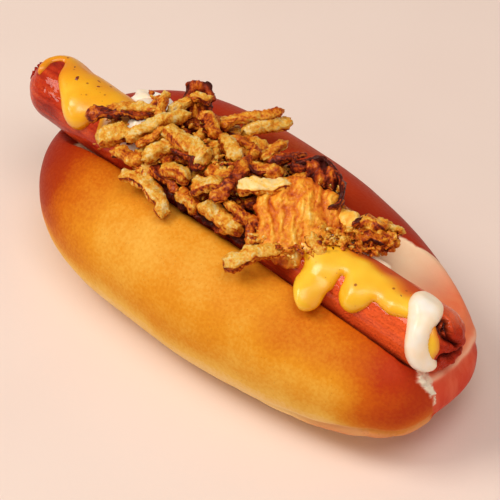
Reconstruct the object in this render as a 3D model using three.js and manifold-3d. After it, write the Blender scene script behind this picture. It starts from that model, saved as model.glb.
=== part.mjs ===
// A hot dog: a smoked sausage in a split brioche bun, under two sauces and a heap of fried onion straws.
// Millimetres. The bun lies along X, its front half is on -Y and its higher back half on +Y, and +Z is up.

import * as THREE from 'three';
import { mergeVertices } from 'three/addons/utils/BufferGeometryUtils.js';
import Module from 'manifold-3d';

// ---------------------------------------------------------------- driving dimensions

const GAP = 0.35;                         // clear space kept between neighbouring solids

const BUN = {
  length: 175,
  frontWidth: 41,                         // from the middle plane to the front bulge
  backWidth: 47,
  frontHeight: 44.5,
  backHeight: 50,
  bulgeHeight: 20,                        // where both sides are widest
  squareness: 2.45,                       // exponent of the section, 2 being an ellipse
  undercut: 1.14,                         // how far the section would reach below the table it is pressed on
};

const SAUSAGE = {
  radius: 10.7,
  tailX: -96.5,                           // the tied end, out past the bun
  headX: 89,                              // the puckered end, level with the bun
  axisY: -2,
  axisZ: 41.3,
  knot: 2.8,                              // how far the tied skin stands out at the tail
  pucker: 2.6,                            // how deep the head is drawn in
};

const YELLOW_THICKNESS = 1.9;
const WHITE_THICKNESS = 4.4;

const SLIT = {
  frontWall: -13.4,
  backWall: 13.6,
  floor: SAUSAGE.axisZ - SAUSAGE.radius - GAP - 0.3,
  headPinch: 4.5,                         // the front wall closes in round the sausage's head
  headLean: 12,                           // the back wall leans out towards the head end
  headDrop: 15,                           // and its lip comes down there
  steps: 14,                              // sections it is drawn out in
};

const HEAP = {
  tailX: -63,
  headX: 45,
  middleY: 1,
  halfWidth: 19,
  coreTop: 55.5,
  skirtZ: 43,
};

const STRAW = { width: 5.2, thickness: 4.2, sides: 5, steps: 3 };

const COLOURS = {
  bun: 0xd9822b,
  sausage: 0x9c3420,
  onion: 0xc98736,
};

// ---------------------------------------------------------------- helpers

const wasm = await Module();
wasm.setup();

const lerp = THREE.MathUtils.lerp;
const smooth = THREE.MathUtils.smoothstep;
const degrees = THREE.MathUtils.degToRad;

// Random numbers that are the same on every run.
function seededRandom(seed) {
  let state = seed;
  return () => {
    state = (state * 1664525 + 1013904223) % 4294967296;
    return state / 4294967296;
  };
}

// Moves every vertex of a geometry to place(vertex).
function deform(geometry, place) {
  const position = geometry.attributes.position;
  const point = new THREE.Vector3();
  for (let i = 0; i < position.count; i += 1) {
    point.fromBufferAttribute(position, i);
    place(point);
    position.setXYZ(i, point.x, point.y, point.z);
  }
  return geometry;
}

function toSolid(geometry) {
  geometry.deleteAttribute('normal');
  geometry.deleteAttribute('uv');
  const merged = mergeVertices(geometry, 1e-3);
  return new wasm.Manifold(new wasm.Mesh({
    numProp: 3,
    vertProperties: new Float32Array(merged.attributes.position.array),
    triVerts: new Uint32Array(merged.index.array),
  }));
}

function toGeometry(solid) {
  const mesh = solid.getMesh();
  const geometry = new THREE.BufferGeometry();
  geometry.setAttribute('position', new THREE.BufferAttribute(new Float32Array(mesh.vertProperties), 3));
  geometry.setIndex(new THREE.BufferAttribute(new Uint32Array(mesh.triVerts), 1));
  geometry.computeVertexNormals();
  return geometry;
}

// The one connected piece that is left when loose scraps are dropped.
function largestPiece(solid) {
  const pieces = solid.decompose();
  return pieces.reduce((best, piece) => (piece.volume() > best.volume() ? piece : best));
}

function node(name, geometry, color, roughness) {
  const mesh = new THREE.Mesh(geometry, new THREE.MeshStandardMaterial({ color, roughness, metalness: 0 }));
  mesh.name = name;
  return mesh;
}

// ---------------------------------------------------------------- bun

// How wide (plan) and how tall (rise) the loaf still is at u, which runs from -1 at the tail to 1 at the head.
// The front half's top keeps its height almost to the head end, with a slight dip on the way.
function loafTaper(u, back, frontTop) {
  const a = Math.min(Math.abs(u), 1);
  if (u < 0) {
    return { plan: (1 - a ** 3.4) ** (1 / 1.7), rise: (1 - a ** 3) ** 0.5 };
  }
  const plan = back ? (1 - a ** 1.4) ** (1 / 2.44) : (1 - a ** 1.5) ** (1 / 4.6);
  const blunt = (1 - a ** 14) ** 0.5 * (1 - 0.14 * smooth(a, 0.25, 0.65));
  return { plan, rise: lerp((1 - a ** 2.2) ** 0.5, blunt, frontTop) };
}

// The uncut loaf, grown all round by an allowance. A sphere with its poles on X is its starting shape.
function loafGeometry(allowance, around, along) {
  const geometry = new THREE.SphereGeometry(1, around, along).rotateZ(-Math.PI / 2);
  return deform(geometry, (p) => {
    const u = THREE.MathUtils.clamp(p.x, -1, 1);
    const angle = Math.atan2(p.z, p.y);
    const side = Math.cos(angle);
    const up = Math.sin(angle);
    const back = side > 0;
    const behind = 0.5 + 0.5 * Math.tanh(3 * side);
    const { plan, rise } = loafTaper(u, back, up > 0 ? 1 - behind : 0);
    const width = (back ? BUN.backWidth : BUN.frontWidth) + allowance;
    const crown = lerp(BUN.frontHeight, BUN.backHeight, behind) + allowance;
    const power = 2 / BUN.squareness;
    const y = width * Math.sign(side) * Math.abs(side) ** power * plan + 2.5 * (u * u - 0.33);
    const reach = up > 0 ? crown - BUN.bulgeHeight : (BUN.bulgeHeight + allowance) * BUN.undercut;
    const z = BUN.bulgeHeight + Math.sign(up) * reach * Math.abs(up) ** power * rise;
    p.set(u * (BUN.length / 2 + allowance), y, Math.max(z, -allowance));
  });
}

// The split that the filling lies in: round under the sausage, open to a rolled lip on both sides.
function slitGeometry(allowance, steps) {
  const front = SLIT.frontWall - allowance;
  const back = SLIT.backWall + allowance;
  const floor = SLIT.floor - allowance;
  const lipFront = BUN.frontHeight - 6;
  const lipBack = BUN.backHeight - 7;
  const roof = BUN.backHeight + 12;
  const outline = new THREE.Shape();
  outline.moveTo(SAUSAGE.axisY, floor);
  outline.bezierCurveTo(back - 5.5, floor, back - 4, floor + 7, back, SAUSAGE.axisZ);
  outline.quadraticCurveTo(back + 3, lipBack + 5, back + 11, BUN.backHeight + 0.4 - allowance);
  outline.lineTo(back + 14, roof);
  outline.lineTo(front - 12, roof);
  outline.lineTo(front - 9, BUN.frontHeight + 0.6 - allowance);
  outline.quadraticCurveTo(front - 1.5, lipFront + 5, front, lipFront);
  outline.bezierCurveTo(front, floor + 5, SAUSAGE.axisY - 8, floor, SAUSAGE.axisY, floor);
  const reach = BUN.length / 2 + 30;
  const geometry = new THREE.ExtrudeGeometry(outline, {
    depth: 2 * reach, steps, curveSegments: 7, bevelEnabled: false,
  });
  const axes = new THREE.Matrix4().makeBasis(
    new THREE.Vector3(0, 1, 0), new THREE.Vector3(0, 0, 1), new THREE.Vector3(1, 0, 0));
  geometry.applyMatrix4(axes).translate(-reach, 0, 0);
  return deform(geometry, (p) => {
    if (p.y < SAUSAGE.axisY) {
      p.y += SLIT.headPinch * smooth(p.x, 76, BUN.length / 2);
    } else {
      const high = smooth(p.z, floor + 4, lipBack + 3);
      p.y += SLIT.headLean * smooth(p.x, 22, 64) * high;
      p.z -= SLIT.headDrop * smooth(p.x, 30, 72) * high;
    }
  });
}

// ---------------------------------------------------------------- sausage and sauces

// A rounded bump: 1 in its middle and 0 a half-width away.
function bump(value, middle, halfWidth) {
  const t = Math.min(Math.abs(value - middle) / halfWidth, 1);
  return (1 - t * t) ** 1.5;
}

// Angles are in degrees round the sausage from its top, negative on the front.
const YELLOW_BLANKET = {
  from: -93, to: 90, frontEdge: -23, backEdge: 58,
  frontDrips: [
    { x: -67, depth: 60, halfWidth: 11 }, { x: -53, depth: 45, halfWidth: 5 },
    { x: 41, depth: 96, halfWidth: 8 }, { x: 55.5, depth: 56, halfWidth: 7.5 },
    { x: 69, depth: 24, halfWidth: 7 }, { x: 88, depth: 44, halfWidth: 5 },
  ],
  backDrips: [{ x: -74, depth: 34, halfWidth: 9 }, { x: 58, depth: 22, halfWidth: 12 }],
};

const WHITE_RIBBON = { backAngle: 62, frontAngle: -92, backX: 75, frontX: 85, halfWidth: 6.2 };

// How far inside a sauce the point is, in millimetres: a blanket hangs down in drips on both sides.
function insideBlanket(x, angle, blanket) {
  const hang = (drips) => drips.reduce((sum, d) => sum + d.depth * bump(x, d.x, d.halfWidth), 0);
  const perDegree = degrees(SAUSAGE.radius);
  return Math.min(
    x - blanket.from,
    blanket.to - x,
    (angle - (blanket.frontEdge - hang(blanket.frontDrips))) * perDegree,
    (blanket.backEdge + hang(blanket.backDrips) - angle) * perDegree);
}

function insideRibbon(x, angle, ribbon) {
  const along = THREE.MathUtils.clamp(
    (ribbon.backAngle - angle) / (ribbon.backAngle - ribbon.frontAngle), 0, 1);
  const overshoot = Math.max(angle - ribbon.backAngle, ribbon.frontAngle - angle, 0);
  const off = Math.hypot(x - lerp(ribbon.backX, ribbon.frontX, along), degrees(overshoot) * SAUSAGE.radius);
  return ribbon.halfWidth - off;
}

// A sauce has a rounded edge as wide as the sauce is thick.
function sauceHeight(inside, thickness) {
  const t = THREE.MathUtils.clamp(inside / (1.3 * thickness), 0, 1);
  return thickness * Math.sqrt(t * (2 - t));
}

function sauceRelief(x, angle) {
  const yellow = insideBlanket(x, angle, YELLOW_BLANKET);
  const white = insideRibbon(x, angle, WHITE_RIBBON);
  return Math.max(sauceHeight(yellow, YELLOW_THICKNESS), sauceHeight(white, WHITE_THICKNESS));
}

// The sausage with the sauces fused on, grown by an allowance where a neighbour is cut clear of it.
function sausageGeometry(allowance, around, along, relief = sauceRelief) {
  const { radius, tailX, headX } = SAUSAGE;
  const straight = headX - tailX - 2 * radius;
  const middle = (headX + tailX) / 2;
  const geometry = new THREE.CapsuleGeometry(radius, straight, 6, around, along).rotateZ(-Math.PI / 2);
  return deform(geometry, (p) => {
    const fromAxis = Math.hypot(p.y, p.z);
    const angle = THREE.MathUtils.radToDeg(Math.atan2(p.y, p.z));
    const x = p.x + middle;
    const endFade = smooth(fromAxis, 0, 0.75 * radius);
    const thicker = allowance + relief(x, angle) * endFade;
    const normal = new THREE.Vector3(
      p.x - THREE.MathUtils.clamp(p.x, -straight / 2, straight / 2), p.y, p.z).normalize();
    p.addScaledVector(normal, thicker);
    const nearPole = Math.exp(-((fromAxis / 2.6) ** 2));
    if (x < middle) {
      p.x -= SAUSAGE.knot * nearPole;
    } else {
      p.x -= SAUSAGE.pucker * Math.exp(-((fromAxis / 5) ** 2));
    }
    const t = (x - middle) / (headX - middle);
    p.x += middle;
    p.y += SAUSAGE.axisY + 0.8 * (t * t - 0.4);
    p.z += SAUSAGE.axisZ + 1.2 * smooth(-t, 0.55, 1);
  });
}

// ---------------------------------------------------------------- fried onions

// A straw along a gently bent path through at, lying at an angle yaw from X and tilted by pitch.
function strawSolid({ at, yaw, pitch = 0, length, bend = 0, arch = 1, width = STRAW.width }) {
  const along = new THREE.Vector3(
    Math.cos(degrees(yaw)) * Math.cos(degrees(pitch)),
    Math.sin(degrees(yaw)) * Math.cos(degrees(pitch)),
    Math.sin(degrees(pitch)));
  const across = new THREE.Vector3(-Math.sin(degrees(yaw)), Math.cos(degrees(yaw)), 0);
  const path = new THREE.CatmullRomCurve3([-0.5, -0.17, 0.17, 0.5].map((t) => (
    new THREE.Vector3(...at)
      .addScaledVector(along, t * length)
      .addScaledVector(across, bend * (0.25 - t * t))
      .add(new THREE.Vector3(0, 0, -4 * arch * t * t))
  )));
  const section = new THREE.Shape();
  for (let i = 0; i < STRAW.sides; i += 1) {
    const angle = (i + 0.5) * 2 * Math.PI / STRAW.sides;
    const corner = [0.5 * STRAW.thickness * Math.cos(angle), 0.5 * width * Math.sin(angle)];
    section[i === 0 ? 'moveTo' : 'lineTo'](...corner);
  }
  section.closePath();
  return toSolid(new THREE.ExtrudeGeometry(section, {
    steps: STRAW.steps, extrudePath: path, bevelEnabled: false,
  }));
}

// Where x lies along the heap, from -1 at its tail end to 1 at its head end.
function alongHeap(x) {
  return (x - (HEAP.tailX + HEAP.headX) / 2) / ((HEAP.headX - HEAP.tailX) / 2);
}

// Height of the heap's core over the point (x, y).
function coreTop(x, y) {
  const u = alongHeap(x);
  const v = (y - HEAP.middleY) / HEAP.halfWidth;
  const dome = Math.max(1 - Math.abs(u) ** 4 - Math.abs(v) ** 2.6, 0) ** 0.4;
  return lerp(HEAP.skirtZ, HEAP.coreTop, dome);
}

function coreSolid() {
  const half = (HEAP.headX - HEAP.tailX) / 2;
  const geometry = new THREE.SphereGeometry(1, 22, 14).rotateX(Math.PI / 2);
  deform(geometry, (p) => {
    const flat = Math.hypot(p.x, p.y);
    const stretch = flat > 1e-6 ? (flat ** 0.8) / flat : 0;
    const x = p.x * stretch * half + (HEAP.tailX + HEAP.headX) / 2;
    const y = p.y * stretch * HEAP.halfWidth + HEAP.middleY;
    const ripple = 0.7 * Math.sin(x / 3.1) * Math.cos(y / 2.7);
    const z = p.z > 0 ? coreTop(x, y) + ripple * p.z : HEAP.skirtZ + 7 * p.z;
    p.set(x, y, z);
  });
  return toSolid(geometry);
}

// The straws on top that stand out, and those that have slid on to the bun.
const LARGE_STRAWS = [
  { at: [-50, -5, 57], yaw: 51, length: 24, width: 7 },
  { at: [-42, 6, 58], yaw: -57, length: 18, width: 4 },
  { at: [-37, 17, 57.5], yaw: -24, length: 17, width: 6.5 },
  { at: [-34, -5, 58.5], yaw: 64, length: 25, bend: 2, width: 4.4 },
  { at: [-21, -5, 60], yaw: 2, length: 21, bend: -2, width: 6.6 },
  { at: [-46, -13, 53.5], yaw: 71, length: 13, width: 6.5 },
  { at: [-36, -17, 52.5], yaw: 9, length: 15 },
  { at: [-27, -11, 57], yaw: 67, length: 14, width: 5.6 },
  { at: [-25, -20.6, 47.8], yaw: -5, length: 26, bend: 2 },
  { at: [-24, -16.6, 49.6], yaw: 4, length: 22, width: 4.6 },
  { at: [-17, -14, 55], yaw: 11, length: 13 },
  { at: [-10, -16.5, 50.5], yaw: -5, length: 12 },
  { at: [3, -15.5, 51], yaw: 3, length: 19 },
  { at: [-5, -12.5, 58], yaw: 44, length: 14, width: 6 },
  { at: [-2, -5, 59.5], yaw: 99, length: 21, width: 4 },
  { at: [-12, 6, 56.5], yaw: -29, length: 19 },
  { at: [-16, 21, 56], yaw: 61, length: 25, bend: 5, width: 3.8 },
  { at: [-12, 22, 54.5], yaw: 52, length: 19 },
  { at: [9, -4, 60.5], yaw: 43, length: 21, width: 5.8 },
  { at: [-1, 14, 57.5], yaw: 90, length: 13, width: 3.8 },
  { at: [4, 4, 58], yaw: 29, length: 14, width: 5.6 },
  { at: [4, 14, 58], yaw: 55, length: 14, width: 3.6 },
  { at: [10, -14.5, 52.5], yaw: -19, length: 19, width: 3.4 },
  { at: [21, -20.5, 49], yaw: 46, length: 20, width: 5 },
  { at: [23, 11, 59], yaw: 20, length: 22, arch: 7, width: 5 },
  { at: [41, 2, 55.8], yaw: 38, length: 13, width: 6 },
  { at: [46, 10, 55.8], yaw: 45, length: 16, width: 6.5 },
];

// A broad crisp sheet of ribbed batter on the head side of the heap, sloping down to the front.
const SHEET = { at: [25, -2, 56.8], width: 26, height: 25, thickness: 2.6, yaw: 44, roll: 30, ribs: 6 };

function sheetSolid() {
  const geometry = new THREE.BoxGeometry(SHEET.width, SHEET.height, SHEET.thickness, 2 * SHEET.ribs, 4, 1);
  deform(geometry, (p) => {
    const rib = Math.cos(2 * Math.PI * SHEET.ribs * p.x / SHEET.width);
    p.z += 0.6 * rib - 0.014 * p.x * p.x - 0.012 * p.y * p.y;
    p.y += 1.2 * Math.sin(p.x * 0.9);
  });
  geometry.rotateX(degrees(SHEET.roll));
  geometry.rotateZ(degrees(SHEET.yaw));
  geometry.translate(...SHEET.at);
  return toSolid(geometry);
}

// Shorter straws, evenly spread along the heap in crossing directions.
function smallStraws() {
  const random = seededRandom(11);
  const straws = [];
  const rows = 7;
  const columns = 4;
  for (let row = 0; row < rows; row += 1) {
    for (let column = 0; column < columns; column += 1) {
      const x = lerp(HEAP.tailX + 9, HEAP.headX - 14, (row + 0.2 + 0.6 * random()) / rows);
      const across = (column + 0.25 + 0.5 * random()) / columns;
      const spread = 0.85 * HEAP.halfWidth * (1 - 0.6 * Math.abs(alongHeap(x)) ** 3);
      const y = HEAP.middleY + spread * (2 * across - 1);
      straws.push({
        at: [x, y, coreTop(x, y) + 0.4 + 1.2 * random()],
        yaw: (random() - 0.5) * 150 + (column % 2 ? 35 : -20),
        pitch: (random() - 0.5) * 22,
        length: 11 + 9 * random(),
        bend: (random() - 0.5) * 6,
        width: 4.2 + 1.8 * random(),
      });
    }
  }
  return straws;
}

function heapSolid() {
  const straws = [...LARGE_STRAWS, ...smallStraws()].map(strawSolid);
  return straws.reduce((heap, straw) => heap.add(straw), coreSolid().add(sheetSolid()));
}

// ---------------------------------------------------------------- the whole

const sausage = toSolid(sausageGeometry(0, 32, 46));
const sausageRoom = toSolid(sausageGeometry(GAP, 32, 46));
const loaf = toSolid(loafGeometry(0, 42, 34));
const bun = largestPiece(loaf.subtract(toSolid(slitGeometry(0, SLIT.steps))).subtract(sausageRoom));

// The heap rests on a plain, slightly wider form of what carries it.
const coated = YELLOW_THICKNESS + 1.6 * GAP;
const heapBed = toSolid(sausageGeometry(coated, 20, 10, () => 0))
  .add(toSolid(loafGeometry(1.4 * GAP, 30, 24)).subtract(toSolid(slitGeometry(-GAP, SLIT.steps))));
const onions = largestPiece(heapSolid().subtract(heapBed));

const hotDog = new THREE.Group();
hotDog.add(node('bun', toGeometry(bun), COLOURS.bun, 0.45));
hotDog.add(node('sausage', toGeometry(sausage), COLOURS.sausage, 0.35));
hotDog.add(node('fried_onions', toGeometry(onions), COLOURS.onion, 0.7));

// The origin is under the middle of the whole, on the table.
const box = new THREE.Box3().setFromObject(hotDog);
const centre = box.getCenter(new THREE.Vector3());
hotDog.position.set(-centre.x, -centre.y, -box.min.z);

export default hotDog;
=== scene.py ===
"""A hot dog: a smoked sausage in a split bun, with yellow and white sauce and a heap of fried onion straws.

Pieces are worked out in millimetres in the bun's own frame: the loaf lies along X with its front half
on -Y, the sausage's tied tail is on -X and its puckered head on +X, and the table is z = 0.
finish_piece() then puts each mesh where the model has it, in metres.
"""

import itertools
import math
import random

import bmesh
import bpy
import numpy as np
from mathutils import Matrix, Vector
from mathutils.bvhtree import BVHTree


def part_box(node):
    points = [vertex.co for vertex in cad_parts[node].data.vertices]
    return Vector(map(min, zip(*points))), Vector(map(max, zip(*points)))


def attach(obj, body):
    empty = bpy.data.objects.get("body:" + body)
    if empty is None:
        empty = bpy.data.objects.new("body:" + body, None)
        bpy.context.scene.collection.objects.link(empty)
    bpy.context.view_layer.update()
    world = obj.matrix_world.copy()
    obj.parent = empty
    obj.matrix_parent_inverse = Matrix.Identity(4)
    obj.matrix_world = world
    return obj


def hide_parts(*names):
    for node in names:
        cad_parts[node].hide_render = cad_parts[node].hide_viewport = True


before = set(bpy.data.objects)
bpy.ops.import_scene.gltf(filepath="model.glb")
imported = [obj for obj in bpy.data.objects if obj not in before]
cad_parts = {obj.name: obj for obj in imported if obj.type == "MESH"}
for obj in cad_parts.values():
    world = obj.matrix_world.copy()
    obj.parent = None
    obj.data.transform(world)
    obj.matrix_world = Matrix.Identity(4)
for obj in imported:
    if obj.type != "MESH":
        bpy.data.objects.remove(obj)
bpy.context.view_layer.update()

# ---------------------------------------------------------------- sizes, in millimetres

MM = 0.001

BUN_LENGTH = 175
BUN_FRONT_WIDTH = 41                    # from the middle plane to the front bulge
BUN_BACK_WIDTH = 47
BUN_FRONT_HEIGHT = 44.5
BUN_BACK_HEIGHT = 50
BUN_BULGE_HEIGHT = 20                   # where both sides are widest
BUN_SQUARENESS = 2.45                   # exponent of the section, 2 being an ellipse
BUN_UNDERCUT = 1.14                     # how far the section would reach below the table
BUN_BOW = 2.5                           # how much the loaf's ends lean to the back

SAUSAGE_RADIUS = 10.7
SAUSAGE_TAIL_X = -96.5
SAUSAGE_HEAD_X = 89
SAUSAGE_Y = -2
SAUSAGE_Z = 41.3
SAUSAGE_KNOT = 2.8                      # how far the tied skin stands out at the tail
SAUSAGE_PUCKER = 2.6                    # how deep the head is drawn in

SLIT_FRONT = -13.4
SLIT_BACK = 13.6
SLIT_FLOOR = SAUSAGE_Z - SAUSAGE_RADIUS - 0.65
SLIT_HEAD_PINCH = 4.5                   # the front wall closes in round the sausage's head
SLIT_HEAD_LEAN = 12                     # the back wall leans out towards the head end
SLIT_HEAD_DROP = 15                     # and its lip comes down there

HEAP_TAIL_X = -63
HEAP_HEAD_X = 45
HEAP_Y = 1
HEAP_HALF_WIDTH = 19
HEAP_TOP = 55.5
HEAP_SKIRT = 43

SAUSAGE_MIDDLE = (SAUSAGE_HEAD_X + SAUSAGE_TAIL_X) / 2
SAUSAGE_HALF = (SAUSAGE_HEAD_X - SAUSAGE_TAIL_X) / 2


def bun_origin():
    """Where the bun's own origin lies in the model, in metres."""
    low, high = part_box("bun")
    front = BUN_FRONT_WIDTH + 0.33 * BUN_BOW
    return Vector(((low.x + high.x) / 2, low.y + front * MM, 0))


ORIGIN = bun_origin()

# ---------------------------------------------------------------- small maths


def smoothstep(low, high, value):
    t = np.clip((value - low) / (high - low), 0, 1)
    return t * t * (3 - 2 * t)


def band(rise, fall, value):
    """1 between a rise and a fall, each given by its two ends."""
    return smoothstep(*rise, value) * (1 - smoothstep(*fall, value))


def lerp(a, b, t):
    return a + (b - a) * t


def gauss(value, width):
    return np.exp(-(value / width) ** 2)


def unit_slopes(count):
    """Random directions on a repeating lattice, from which smooth_noise() is made."""
    slopes = np.random.default_rng(8).normal(size=(count, count, count, 3))
    return slopes / np.linalg.norm(slopes, axis=-1, keepdims=True)


LATTICE = 32
SLOPES = unit_slopes(LATTICE)


def smooth_noise(places):
    """Noise of about -1 to 1 at each place, with features one unit wide."""
    corner = np.floor(places).astype(int)
    part = places - corner
    fade = part ** 3 * (part * (part * 6 - 15) + 10)
    total = np.zeros(len(places))
    for step in itertools.product((0, 1), repeat=3):
        i, j, k = ((corner + step) % LATTICE).T
        weight = np.prod(np.where(step, fade, 1 - fade), axis=1)
        total += weight * (SLOPES[i, j, k] * (part - step)).sum(1)
    return 1.6 * total


def lumps(points, size, seed=0, octaves=1):
    """Smooth noise with features of the given size, and finer ones of half the height each octave."""
    places = np.asarray(points, float) / size + np.array((17.3, -9.1, 5.7)) * seed
    return sum(smooth_noise(places * 2 ** octave + 3.7 * octave) / 2 ** octave for octave in range(octaves))


def creased(points, size, seed=0):
    """Rounded blisters with sharp creases between them, from -1 in a crease to about 1."""
    return 4 * np.abs(lumps(points, size, seed)) - 1


def curve_through(knots, count, closed=False):
    """Points evenly spread over a smooth curve through the knots, any number of columns."""
    knots = np.asarray(knots, float)
    if closed:
        ring = np.vstack([knots[-1], knots, knots[:2]])
        spans = len(knots)
    else:
        ring = np.vstack([2 * knots[0] - knots[1], knots, 2 * knots[-1] - knots[-2]])
        spans = len(knots) - 1
    steps = np.linspace(0, spans, 24 * spans + 1)
    span = np.minimum(steps.astype(int), spans - 1)
    t = (steps - span)[:, None]
    a, b, c, d = (ring[span + i] for i in range(4))
    fine = 0.5 * (2 * b + (c - a) * t + (2 * a - 5 * b + 4 * c - d) * t ** 2
                  + (3 * b - a - 3 * c + d) * t ** 3)
    walked = np.concatenate([[0], np.cumsum(np.linalg.norm(np.diff(fine, axis=0), axis=1))])
    wanted = np.linspace(0, walked[-1], count + 1)[:-1] if closed else np.linspace(0, walked[-1], count)
    return np.column_stack([np.interp(wanted, walked, column) for column in fine.T])


def flat(plan):
    """Places on a plane, given as two columns, with a third column of zeros."""
    return np.column_stack([plan, np.zeros(len(plan))])


def turned(points, *turns):
    """The points turned about the origin by each (angle, axis), the last one first."""
    matrix = Matrix.Identity(3)
    for angle, axis in turns:
        matrix = matrix @ Matrix.Rotation(angle, 3, axis)
    return points @ np.array(matrix).T


# ---------------------------------------------------------------- meshes


def points_of(verts):
    return np.array([v.co[:] for v in verts])


def normals_of(bm):
    bm.normal_update()
    return np.array([v.normal[:] for v in bm.verts])


def move_points(verts, points):
    for vertex, point in zip(verts, points):
        vertex.co = point


def unit_sphere(bm, around, along):
    """Adds a sphere with its poles on X and gives its vertices, and each one's share of the way
    from the -X pole to the +X pole and its angle round X, from +Y towards +Z."""
    made = bmesh.ops.create_uvsphere(bm, u_segments=around, v_segments=along, radius=1)["verts"]
    bmesh.ops.rotate(bm, verts=made, cent=(0, 0, 0), matrix=Matrix.Rotation(math.pi / 2, 3, "Y"))
    x, y, z = points_of(made).T
    return made, np.arccos(np.clip(-x, -1, 1)) / math.pi, np.arctan2(z, y)


def add_crumb(bm, centre, radius, seed, stretch=(1.2, 1, 0.75), roughness=0.4, subdivisions=2):
    """A small uneven lump. Gives how far each of its points stands out, as a share of the radius."""
    made = bmesh.ops.create_icosphere(bm, subdivisions=subdivisions, radius=1)["verts"]
    ball = points_of(made)
    relief = roughness * (1.3 * lumps(ball, 1.1, seed) + 0.5 * creased(ball, 0.6, seed))
    points = ball * (1 + relief)[:, None] * stretch * radius
    move_points(made, turned(points, (1.9 * seed, "Z"), (0.5 * math.sin(seed), "X")) + np.asarray(centre))
    return relief


def placed(name, data):
    """An object of that name in the scene, which holds a mesh, a light or a camera."""
    made = bpy.data.objects.new(name, data)
    bpy.context.collection.objects.link(made)
    return made


def mesh_from(bm, name):
    mesh = bpy.data.meshes.new(name)
    bmesh.ops.recalc_face_normals(bm, faces=bm.faces[:])
    bm.to_mesh(mesh)
    bm.free()
    return mesh


def finish_piece(name, bm, material, slot, replaced=(), **attributes):
    """Makes a shape in millimetres a piece in its place in the model. Each attribute holds one number
    for every point, or one for all."""
    mesh = mesh_from(bm, name)
    for label, values in attributes.items():
        data = mesh.attributes.new(label, "FLOAT", "POINT").data
        data.foreach_set("value", np.full(len(data), values, np.float32))
    mesh.transform(Matrix.Translation(ORIGIN) @ Matrix.Scale(MM, 4))
    mesh.shade_smooth()
    mesh.materials.append(material)
    piece = placed(name, mesh)
    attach(piece, "root")
    if replaced:
        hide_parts(*replaced)


# ---------------------------------------------------------------- finishes


def linear(red, green, blue):
    """A colour as a screen shows it, 0 to 255, in the linear values that shaders take."""
    def one(value):
        value /= 255
        return value / 12.92 if value <= 0.04045 else ((value + 0.055) / 1.055) ** 2.4
    return (one(red), one(green), one(blue), 1)


def add_node(tree, kind, inputs=None, **settings):
    """Adds a node. An input is set to a value, or linked where the value is a mask or a socket."""
    node = tree.nodes.new(kind)
    for name, value in settings.items():
        setattr(node, name, value)
    for name, value in (inputs or {}).items():
        value = getattr(value, "socket", value)
        if isinstance(value, bpy.types.NodeSocket):
            tree.links.new(value, node.inputs[name])
        else:
            node.inputs[name].default_value = value
    return node


class Mask:
    """A number that changes over a surface. Plain sums with masks add the nodes that work them out."""

    def __init__(self, socket):
        self.socket = socket

    def worked(self, operation, first, second):
        node = add_node(self.socket.id_data, "ShaderNodeMath", {0: first, 1: second}, operation=operation)
        return Mask(node.outputs[0])

    def __add__(self, other):
        return self.worked("ADD", self, other)

    def __sub__(self, other):
        return self.worked("SUBTRACT", self, other)

    def __rsub__(self, other):
        return self.worked("SUBTRACT", other, self)

    def __mul__(self, other):
        return self.worked("MULTIPLY", self, other)

    def __rtruediv__(self, other):
        return self.worked("DIVIDE", other, self)

    def __lt__(self, other):
        return self.worked("LESS_THAN", self, other)

    __radd__, __rmul__ = __add__, __mul__

    def or_more(self, other):
        return self.worked("MAXIMUM", self, other)

    def clamped(self):
        """The same sum, kept between 0 and 1."""
        self.socket.node.use_clamp = True
        return self


def new_group(name, numbers):
    """An empty node group that turns a Vector and some numbers, each with its default, into a Mask."""
    group = bpy.data.node_groups.new(name, "ShaderNodeTree")
    group.interface.new_socket("Vector", in_out="INPUT", socket_type="NodeSocketVector")
    for label, default in numbers:
        socket = group.interface.new_socket(label, in_out="INPUT", socket_type="NodeSocketFloat")
        socket.default_value = default
    group.interface.new_socket("Mask", in_out="OUTPUT", socket_type="NodeSocketFloat")
    return group, group.nodes.new("NodeGroupInput").outputs, group.nodes.new("NodeGroupOutput").inputs["Mask"]


def mottle_group():
    """Soft blotches of a given size: a mask that rises from 0 to 1 between Low and High."""
    group, given, result = new_group("mottle", (
        ("Size", 10.0), ("Detail", 2.0), ("Low", 0.35), ("High", 0.65)))
    blotch = add_node(group, "ShaderNodeTexNoise", {
        "Vector": given["Vector"], "Scale": 1.0 / Mask(given["Size"]), "Detail": given["Detail"]})
    mask = add_node(group, "ShaderNodeMapRange", {
        "Value": blotch.outputs["Fac"], "From Min": given["Low"], "From Max": given["High"]},
        interpolation_type="SMOOTHSTEP")
    group.links.new(mask.outputs["Result"], result)
    return group


def specks_group():
    """Scattered round specks or pits: Mask is 1 in a speck, and Share is how many cells hold one."""
    group, given, result = new_group("specks", (("Spacing", 2.0), ("Share", 0.3), ("Radius", 0.3)))
    cells = add_node(group, "ShaderNodeTexVoronoi", {
        "Vector": given["Vector"], "Scale": 1.0 / Mask(given["Spacing"])}).outputs
    draw = Mask(add_node(group, "ShaderNodeSeparateColor", {"Color": cells["Color"]}).outputs["Red"])
    edge = add_node(group, "ShaderNodeMapRange", {
        "Value": cells["Distance"], "From Min": given["Radius"], "From Max": 0.4 * Mask(given["Radius"])},
        interpolation_type="SMOOTHSTEP")
    group.links.new(((draw < given["Share"]) * edge.outputs["Result"]).socket, result)
    return group


MOTTLE = mottle_group()
SPECKS = specks_group()


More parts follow.
